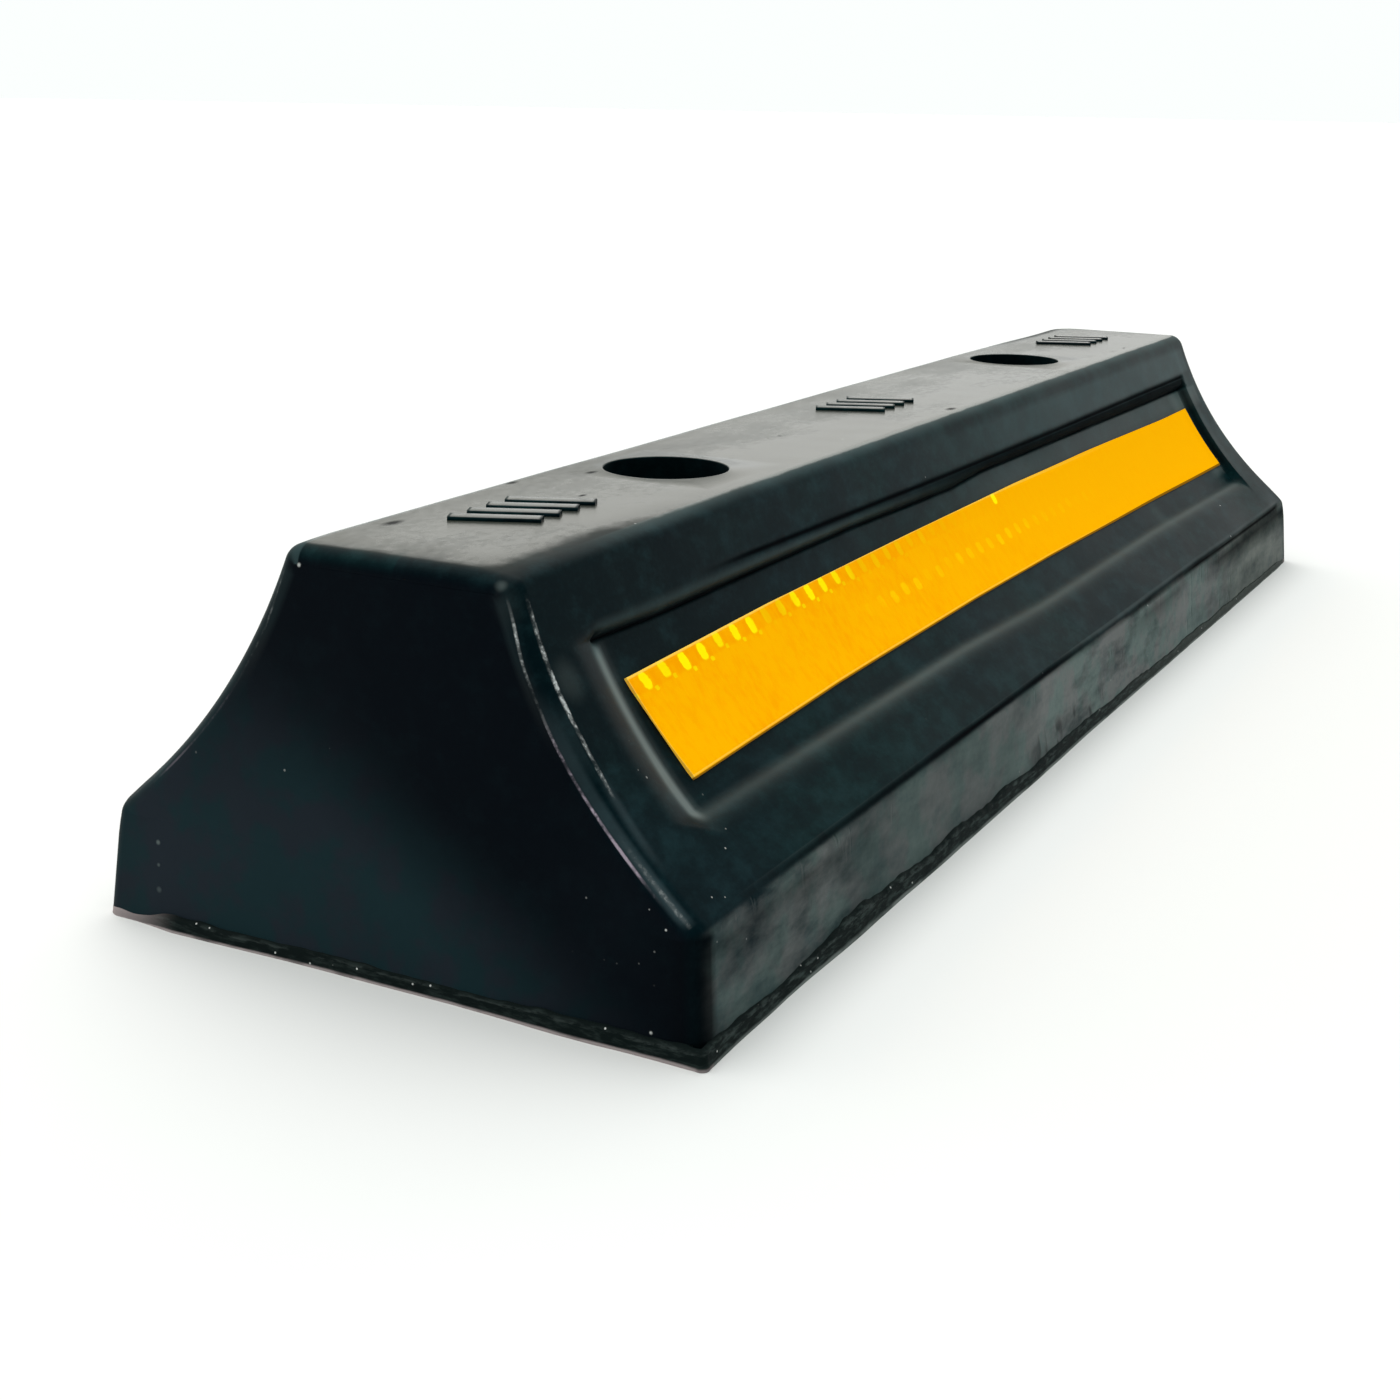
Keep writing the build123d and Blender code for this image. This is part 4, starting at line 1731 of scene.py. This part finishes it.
@dataclass
class FlashRim:
    """Ragged rim of trimmed flash round the foot of the block."""

    half_length: float
    half_width: float
    corner: float = 0.8
    trimmed_corner: float = 4.4
    trimmed_height: float = 2.0
    trimmed_reach: float = 0.1
    trimmed_span: tuple[float, float] = (3.0, 22.0)
    corner_steps: int = 8
    step: float = 0.9
    wall_lean: float = 0.092
    inner: float = 3.4
    lowest: float = 0.8
    least: float = 0.2
    side_height: Table = (
        (-286.0, 4.4), (-246.0, 4.2), (-216.0, 6.7), (-150.0, 5.6), (-30.0, 4.9), (286.0, 2.6),
    )
    side_reach: Table = (
        (-286.0, 1.5), (-245.0, 0.8), (-200.0, 1.2), (-65.0, 1.1), (-23.0, 0.45), (286.0, 0.6),
    )
    end_height: Table = ((-85.0, 4.4), (-40.0, 4.8), (0.0, 3.8), (40.0, 3.6), (66.0, 4.4), (80.0, 1.4))
    end_reach: Table = ((-85.0, 1.4), (-60.0, 1.6), (-20.0, 0.4), (25.0, 0.5), (62.0, 1.5), (78.0, 0.35))
    section: Table = ((0.0, 1.0), (0.55, 0.93), (0.92, 0.78), (0.90, 0.45), (1.08, 0.10), (1.0, 0.0))

    def path(self) -> list[tuple[Vector, Vector, float]]:
        """Foot of the wall all round.

        Returns:
            Places in order, each with its outward direction and its share of a corner.
        """
        long, wide = self.half_length, self.half_width
        signs = ((1.0, -1.0), (1.0, 1.0), (-1.0, 1.0), (-1.0, -1.0))
        corners = [Vector((x * long, y * wide, 0.0)) for x, y in signs]
        radii = (self.trimmed_corner, self.corner, self.trimmed_corner, self.corner)
        made = []
        for i, corner in enumerate(corners):
            facing = (i - 1) * pi / 2.0
            out = Vector((cos(facing), sin(facing), 0.0))
            ahead = Vector((-sin(facing), cos(facing), 0.0))
            start = corners[i - 1] + ahead * radii[i - 1]
            stop = corner - ahead * radii[i]
            for share in spread(0.0, 1.0, self.step / (stop - start).length):
                made.append((start.lerp(stop, share), out, 0.0))
            core = stop - out * radii[i]
            for k in range(self.corner_steps):
                share = k / self.corner_steps
                turn = facing + share * pi / 2.0
                lean = Vector((cos(turn), sin(turn), 0.0))
                made.append((core + lean * radii[i], lean, sin(share * pi)))
        return made

    def inside(self, spot: Vector, z: float) -> Vector:
        """Point of the rim's hidden inner edge.

        Args:
            spot: Place at the foot of the wall, which the point lies beside.
            z: Height wanted, which is held low at the corners, where places share one point.

        Returns:
            The point.
        """
        long = self.half_length - self.inner
        wide = self.half_width - self.inner
        if abs(spot.x) >= long and abs(spot.y) >= wide:
            z = min(z, self.lowest)
        return Vector((max(-long, min(long, spot.x)), max(-wide, min(wide, spot.y)), z))

    def size(self, spot: Vector, out: Vector) -> tuple[float, float]:
        """Height and reach of the rim, before its raggedness.

        Args:
            spot: Place at the foot of the wall.
            out: Outward direction there.

        Returns:
            The height and the reach.
        """
        turn = 1.0 if spot.y < 0.0 else -1.0
        end_turn = 1.0 if spot.x < 0.0 else -1.0
        height = along(turn * spot.x, self.side_height)
        reach = along(turn * spot.x, self.side_reach)
        share = out.x * out.x
        height += (along(end_turn * spot.y, self.end_height) - height) * share
        reach += (along(end_turn * spot.y, self.end_reach) - reach) * share
        if spot.x * spot.y < 0.0:
            gap = hypot(abs(spot.x) - self.half_length, abs(spot.y) - self.half_width)
            keep = ease(gap, *self.trimmed_span)
            height = self.trimmed_height + (height - self.trimmed_height) * keep
            reach = self.trimmed_reach + (reach - self.trimmed_reach) * keep
        return height, reach

    def build(self, rubber: bpy.types.Material) -> bpy.types.Object:
        """Makes the rim.

        Args:
            rubber: Its material.

        Returns:
            The finished piece.
        """
        draft = MeshDraft("up")
        columns = []
        for spot, out, corner in self.path():
            height, reach = self.size(spot, out)
            height *= 1.0 + 0.26 * ripple(spot, 21.0, 11.0) + 0.10 * ripple(spot, 5.0, 12.0)
            height -= 0.7 * max(0.0, ripple(spot, 9.0, 14.0) - 0.2)
            reach = max(self.least, reach * (1.0 + 0.25 * ripple(spot, 19.0, 13.0))) * (1.0 + 0.25 * corner)
            top = max(self.lowest, height)
            column = [draft.point(self.inside(spot, top), up=1.0)]
            for share, up in self.section:
                z = up * top
                off = share * reach
                seat = Vector((spot.x, spot.y, 2.0 * z))
                if up > 0.2:
                    off += 0.14 * reach * ripple(seat, 3.4, 17.0) + 0.16 * reach * ripple(seat, 8.0, 19.0)
                    z += 0.05 * top * ripple(seat, 4.0, 23.0)
                off -= self.wall_lean * z
                column.append(draft.point(Vector((spot.x, spot.y, z)) + out * off, up=up))
            column.append(draft.point(self.inside(spot, 0.0)))
            columns.append(column)
        draft.sheet([list(row) for row in zip(*columns)] + [[column[0] for column in columns]], closed=True)
        piece = finished("trimmed_flash_rim", draft.mesh("trimmed_flash_rim"), crisp=50.0)
        piece.data.materials.append(rubber)
        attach(piece, ROOT)
        return piece


@dataclass
class ReflectiveStrip:
    """Prismatic film laid by hand on the floor of one panel."""

    side: Side
    profile: BlockProfile
    panel: SunkPanel
    left: float
    right: float
    thickness: float = 0.8
    left_over: float = 0.2
    right_over: float = 2.4
    low: Table = ((-240.0, 29.7), (-156.0, 31.7), (-50.0, 32.5), (22.0, 32.2), (150.0, 30.5), (250.0, 28.9))
    high: Table = ((-240.0, 57.4), (-167.0, 59.0), (-70.0, 59.7), (28.0, 60.0), (108.0, 59.5), (215.0, 57.9))
    left_skew: float = 3.4
    right_skew: float = 1.6
    skew_fade: float = 40.0
    bedded: float = 0.25
    step: float = 2.0
    rows: int = 14

    def shift(self, x: float, share: float) -> float:
        """How far the slanted cuts at the two ends move a point along the strip."""
        left = self.left_skew * ease(-x, -self.left - self.skew_fade, -self.left)
        return (0.5 - share) * (left + self.right_skew * ease(x, self.right - self.skew_fade, self.right))

    def spot(self, x: float, run: float, share: float, sunk: float) -> Vector:
        """Point of the strip.

        Args:
            x: Place along the strip, as seen from in front of it.
            run: Distance round the flank from the shoulder.
            share: Share of the way up the strip.
            sunk: Depth below the flank.

        Returns:
            The point, on the strip's own side of the block.
        """
        turn = float(self.side.value)
        seat = self.profile.flank_point(run, sunk)
        return Vector((turn * (x + self.shift(x, share)), turn * seat.y, seat.z))

    def build(self, film: bpy.types.Material) -> bpy.types.Object:
        """Makes the strip.

        Args:
            film: Its material.

        Returns:
            The finished piece.
        """
        draft = MeshDraft()
        charts: list[tuple[float, float]] = []
        start = self.left - self.left_over
        stop = self.right + self.right_over
        columns = []
        for x in spread(start, stop, self.step) + [stop]:
            low = along(x, self.low) + 0.12 * ripple(Vector((x, 0.0, 0.0)), 60.0, 31.0)
            high = along(x, self.high) + 0.12 * ripple(Vector((x, 9.0, 0.0)), 60.0, 32.0)
            column = []
            for i in range(self.rows + 1):
                share = i / self.rows
                run = low + (high - low) * share
                edge = min(share, 1.0 - share) * (high - low)
                lift = self.thickness - 0.12 * (1.0 - ease(edge, 0.0, 1.6))
                lift += 0.05 * ripple(Vector((x, run, 0.0)), 24.0, 33.0)
                column.append(draft.point(self.spot(x, run, share, self.panel.depth - lift)))
                charts.append(((x - start) * MM, share * (high - low) * MM))
            for share in (1.0, 0.0):
                run = low + (high - low) * share
                column.append(draft.point(self.spot(x, run, share, self.panel.depth + self.bedded)))
                charts.append(((x - start) * MM, share * (high - low) * MM))
            columns.append(column)
        draft.sheet(columns, closed=True)
        draft.faces += [tuple(columns[0]), tuple(columns[-1])]
        name = f"{self.side.name.lower()}_prismatic_strip"
        made = draft.mesh(name)
        chart = made.uv_layers.new(name="film")
        for loop in made.loops:
            chart.data[loop.index].uv = charts[loop.vertex_index]
        piece = finished(name, made)
        piece.data.materials.append(film)
        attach(piece, ROOT)
        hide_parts(f"{self.side.name.lower()}_reflective_strip")
        return piece


@dataclass
class GripRibs:
    """Short raised ribs in three groups on the flat top, beside and between the anchor holes."""

    height_above: float
    stations: tuple[float, ...] = (-217.6, -5.0, 222.0)
    off_middle: float = 3.0
    count: int = 4
    pitch: float = 8.4
    length: float = 23.0
    width: float = 5.0
    rise: float = 1.0
    slant: float = 24.0
    spine_points: int = 28

    def tree(self) -> bpy.types.NodeTree:
        """Geometry group that lays a row of ribs on each point it is given.

        Returns:
            The group.
        """
        tree = bpy.data.node_groups.new("grip_rib_rows", "GeometryNodeTree")
        graph = Graph(tree)
        kinds = {"Geometry": "Geometry", "Count": "Int"}
        kinds |= {name: "Float" for name in ("Pitch", "Length", "Width", "Rise", "Slant")}
        kinds |= {"Material": "Material"}
        for name, kind in kinds.items():
            tree.interface.new_socket(name, in_out="INPUT", socket_type=f"NodeSocket{kind}")
        tree.interface.new_socket("Geometry", in_out="OUTPUT", socket_type="NodeSocketGeometry")
        given = graph.node("NodeGroupInput")
        length, width, pitch = given.other("Length"), given.other("Width"), given.other("Pitch")
        count, rise = given.other("Count"), given.other("Rise")
        tip = graph.node("ShaderNodeCombineXYZ", None, {"Y": 0.5 * length})
        tail = graph.node("ShaderNodeCombineXYZ", None, {"Y": -0.5 * length})
        spine = graph.node("GeometryNodeCurvePrimitiveLine", None, {"Start": tail, "End": tip})
        spine = graph.node("GeometryNodeResampleCurve", None, {"Curve": spine, "Count": self.spine_points})
        share = 2.0 * graph.node("GeometryNodeSplineParameter") - 1.0
        rounded = (1.0 - abs(share) ** 9.0).root().at_least(0.02)
        spine = graph.node("GeometryNodeSetCurveRadius", None, {"Curve": spine, "Radius": rounded})
        sides = {"Width": width, "Height": 2.0 * rise}
        ring = graph.node("GeometryNodeCurvePrimitiveQuadrilateral", None, sides)
        rounding = {"Curve": ring, "Count": 4, "Radius": 0.7 * rise}
        ring = graph.node("GeometryNodeFilletCurve", {"mode": "POLY"}, rounding)
        swept = {"Curve": spine, "Profile Curve": ring, "Fill Caps": True}
        rib = graph.node("GeometryNodeCurveToMesh", None, swept)
        lean = graph.node("ShaderNodeCombineXYZ", None, {"Z": given.other("Slant")})
        rib = graph.node("GeometryNodeTransform", None, {"Geometry": rib, "Rotation": lean})
        start = graph.node("ShaderNodeCombineXYZ", None, {"X": -0.5 * pitch * (count - 1.0)})
        step = graph.node("ShaderNodeCombineXYZ", None, {"X": pitch})
        spaced = {"Count": count, "Start Location": start, "Offset": step}
        row = graph.node("GeometryNodeMeshLine", None, spaced)
        row = graph.node("GeometryNodeInstanceOnPoints", None, {"Points": row, "Instance": rib})
        rows = graph.node("GeometryNodeInstanceOnPoints", None, {"Points": given, "Instance": row})
        rows = graph.node("GeometryNodeRealizeInstances", None, {"Geometry": rows})
        dressed = {"Geometry": rows, "Material": given.other("Material")}
        rows = graph.node("GeometryNodeSetMaterial", None, dressed)
        graph.node("NodeGroupOutput", None, {"Geometry": rows})
        return tree

    def build(self, rubber: bpy.types.Material) -> bpy.types.Object:
        """Makes the ribs.

        Args:
            rubber: Their material.

        Returns:
            The finished piece.
        """
        places = [(x * MM, self.off_middle * MM, self.height_above * MM) for x in self.stations]
        seeds = bpy.data.meshes.new("grip_rib_places")
        seeds.from_pydata(places, [], [])
        source = bpy.data.objects.new("grip_rib_places", seeds)
        bpy.context.scene.collection.objects.link(source)
        tree = self.tree()
        modifier = source.modifiers.new("ribs", "NODES")
        modifier.node_group = tree
        sizes = {
            "Count": self.count,
            "Pitch": self.pitch * MM,
            "Length": self.length * MM,
            "Width": self.width * MM,
            "Rise": self.rise * MM,
            "Slant": radians(self.slant),
            "Material": rubber,
        }
        for item in tree.interface.items_tree:
            if item.in_out == "INPUT" and item.name in sizes:
                modifier[item.identifier] = sizes[item.name]
        graph = bpy.context.evaluated_depsgraph_get()
        made = bpy.data.meshes.new_from_object(source.evaluated_get(graph))
        source.modifiers.remove(modifier)
        bpy.data.objects.remove(source)
        made.name = "raised_grip_ribs"
        piece = finished("raised_grip_ribs", made)
        polish = made.attributes.new("top", "FLOAT", "POINT")
        polish.data.foreach_set("value", [0.8 * ease(v.normal.z, 0.75, 0.98) for v in made.vertices])
        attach(piece, ROOT)
        return piece


@dataclass(frozen=True)
class PhotoCamera:
    """Camera at the photograph's viewing angle, by its place, its turns and its focal length in pixels."""

    place: Triple = (-622.6, -260.2, 198.0)
    yaw: float = 0.4842
    pitch: float = 0.2953
    roll: float = 0.0159
    focal: float = 1968.85
    picture: float = 1400.0
    sensor: float = 36.0
    clip: tuple[float, float] = (0.01, 200.0)

    def add(self) -> None:
        """Adds the camera and makes it the scene's own."""
        ahead = Vector((cos(self.pitch) * cos(self.yaw), cos(self.pitch) * sin(self.yaw), -sin(self.pitch)))
        level = Vector((sin(self.yaw), -cos(self.yaw), 0.0))
        above = level.cross(ahead)
        right = level * cos(self.roll) + above * sin(self.roll)
        up = above * cos(self.roll) - level * sin(self.roll)
        lens = bpy.data.cameras.new("photo_camera")
        lens.sensor_width = self.sensor
        lens.lens = self.focal / self.picture * self.sensor
        lens.clip_start, lens.clip_end = self.clip
        holder = bpy.data.objects.new("photo_camera", lens)
        turn = Matrix((right, up, -ahead)).transposed().to_4x4()
        holder.matrix_world = Matrix.Translation(Vector(self.place) * MM) @ turn
        bpy.context.scene.collection.objects.link(holder)
        bpy.context.scene.camera = holder


@dataclass(frozen=True)
class Studio:
    """Pale floor, bright light behind, dim light in front, a low bright patch and a soft lamp above."""

    floor: Colour = (0.93, 0.93, 0.93)
    floor_half: float = 40.0
    bright: Colour = (0.97, 1.0, 0.99)
    warm: Colour = (1.0, 0.995, 0.94)
    dim: Colour = (0.25, 0.33, 0.335)
    dark: Colour = (0.045, 0.055, 0.06)
    facing: float = 60.0
    dip: float = 25.0
    window: float = 0.85
    lamp: float = 1.35
    lamp_width: float = 70.0
    lamp_lean: tuple[float, float] = (-14.0, 10.0)

    def add_floor(self) -> None:
        """Adds the floor, which isn't part of the stop."""
        half = self.floor_half
        corners = [(-half, -half, 0.0), (half, -half, 0.0), (half, half, 0.0), (-half, half, 0.0)]
        made = bpy.data.meshes.new("studio_floor")
        made.from_pydata(corners, [], [(0, 1, 2, 3)])
        material, graph = material_graph("pale_studio_floor")
        shader = graph.node("ShaderNodeBsdfDiffuse", None, {"Color": self.floor})
        graph.node("ShaderNodeOutputMaterial", None, {"Surface": shader})
        made.materials.append(material)
        floor = bpy.data.objects.new("studio_floor", made)
        bpy.context.scene.collection.objects.link(floor)

    def add_world(self) -> None:
        """Lights the surroundings: bright behind and above, dim in front, dark low down in front."""
        world = bpy.data.worlds.new("studio_room")
        world.use_nodes = True
        graph = Graph(world.node_tree)
        x, y, z = graph.split(graph.node("ShaderNodeTexCoord", None, None, "Generated"))
        facing, dip = radians(self.facing), radians(self.dip)
        behind = x * (cos(facing) * cos(dip)) + y * (sin(facing) * cos(dip)) - z * sin(dip)
        lit = behind.rise(-0.04, 0.28).at_least(z.rise(0.6, 0.9))
        low = abs(z).fall(0.02, 0.13)
        bright = graph.mix(z.rise(0.08, 0.2), self.bright, self.warm)
        glow = graph.mix(lit, graph.mix(low, self.dim, self.dark), bright)
        window = x.rise(0.3, 0.6) * y.rise(-0.46, -0.26) * y.fall(0.0, 0.12) * z.fall(0.12, 0.26)
        strength = 1.0 + self.window * window
        light = graph.node("ShaderNodeBackground", None, {"Color": glow, "Strength": strength})
        graph.node("ShaderNodeOutputWorld", None, {"Surface": light})
        bpy.context.scene.world = world

    def add_lamp(self) -> None:
        """Adds the soft lamp above."""
        lamp = bpy.data.lights.new("soft_overhead", "SUN")
        lamp.energy = self.lamp
        lamp.angle = radians(self.lamp_width)
        holder = bpy.data.objects.new("soft_overhead", lamp)
        holder.rotation_euler = (*(radians(turn) for turn in self.lamp_lean), 0.0)
        bpy.context.scene.collection.objects.link(holder)


def hole_radius(name: str) -> float:
    """Radius in millimetres of a round hole that the record names as a mount."""
    return next(m["dims"]["r_mm"] for m in frame["record"]["mounts"] if m["name"] == name)


def main() -> None:
    """Builds every piece of the stop, its camera and its stage."""
    logging.basicConfig(level=logging.INFO, format="%(message)s")
    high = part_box("rubber_body")[1]
    overhang = 1.2
    half_length = high[0] / MM - overhang
    half_width = high[1] / MM - overhang
    profile = BlockProfile(height=high[2] / MM, foot=half_width)
    panel = SunkPanel()
    anchors = []
    for side in ("left", "right"):
        washer_low, washer_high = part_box(f"{side}_anchor_washer")
        anchors.append(
            Anchor(
                x=(washer_low[0] + washer_high[0]) / 2.0 / MM,
                head=hole_radius(f"{side}_head_hole"),
                shank=hole_radius(f"{side}_anchor_hole"),
                seat=(washer_high[0] - washer_low[0]) / 2.0 / MM,
                seat_top=washer_high[2] / MM,
                seat_bottom=washer_low[2] / MM,
            )
        )
    rubber = RubberFinish().material()
    film = FilmFinish().material()
    zinc = ZincFinish().material()
    RubberBlock(half_length, profile, panel, anchors, CorePockets()).build(rubber)
    FlashRim(half_length, half_width).build(FlashFinish().material())
    for side in Side:
        strip_low, strip_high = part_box(f"{side.name.lower()}_reflective_strip")
        ends = sorted((side.value * strip_low[0] / MM, side.value * strip_high[0] / MM))
        ReflectiveStrip(side, profile, panel, ends[0], ends[1]).build(film)
    GripRibs(height_above=profile.height).build(rubber)
    for name in ("left_anchor_washer", "right_anchor_washer"):
        for place in frame["nodes"][name].material_slots:
            place.material = zinc
        LOG.info("%s: zinc finish", name)
    PhotoCamera().add()
    studio = Studio()
    studio.add_floor()
    studio.add_world()
    studio.add_lamp()
    bpy.context.scene.view_settings.view_transform = "Standard"


if __name__ == "__main__":
    main()
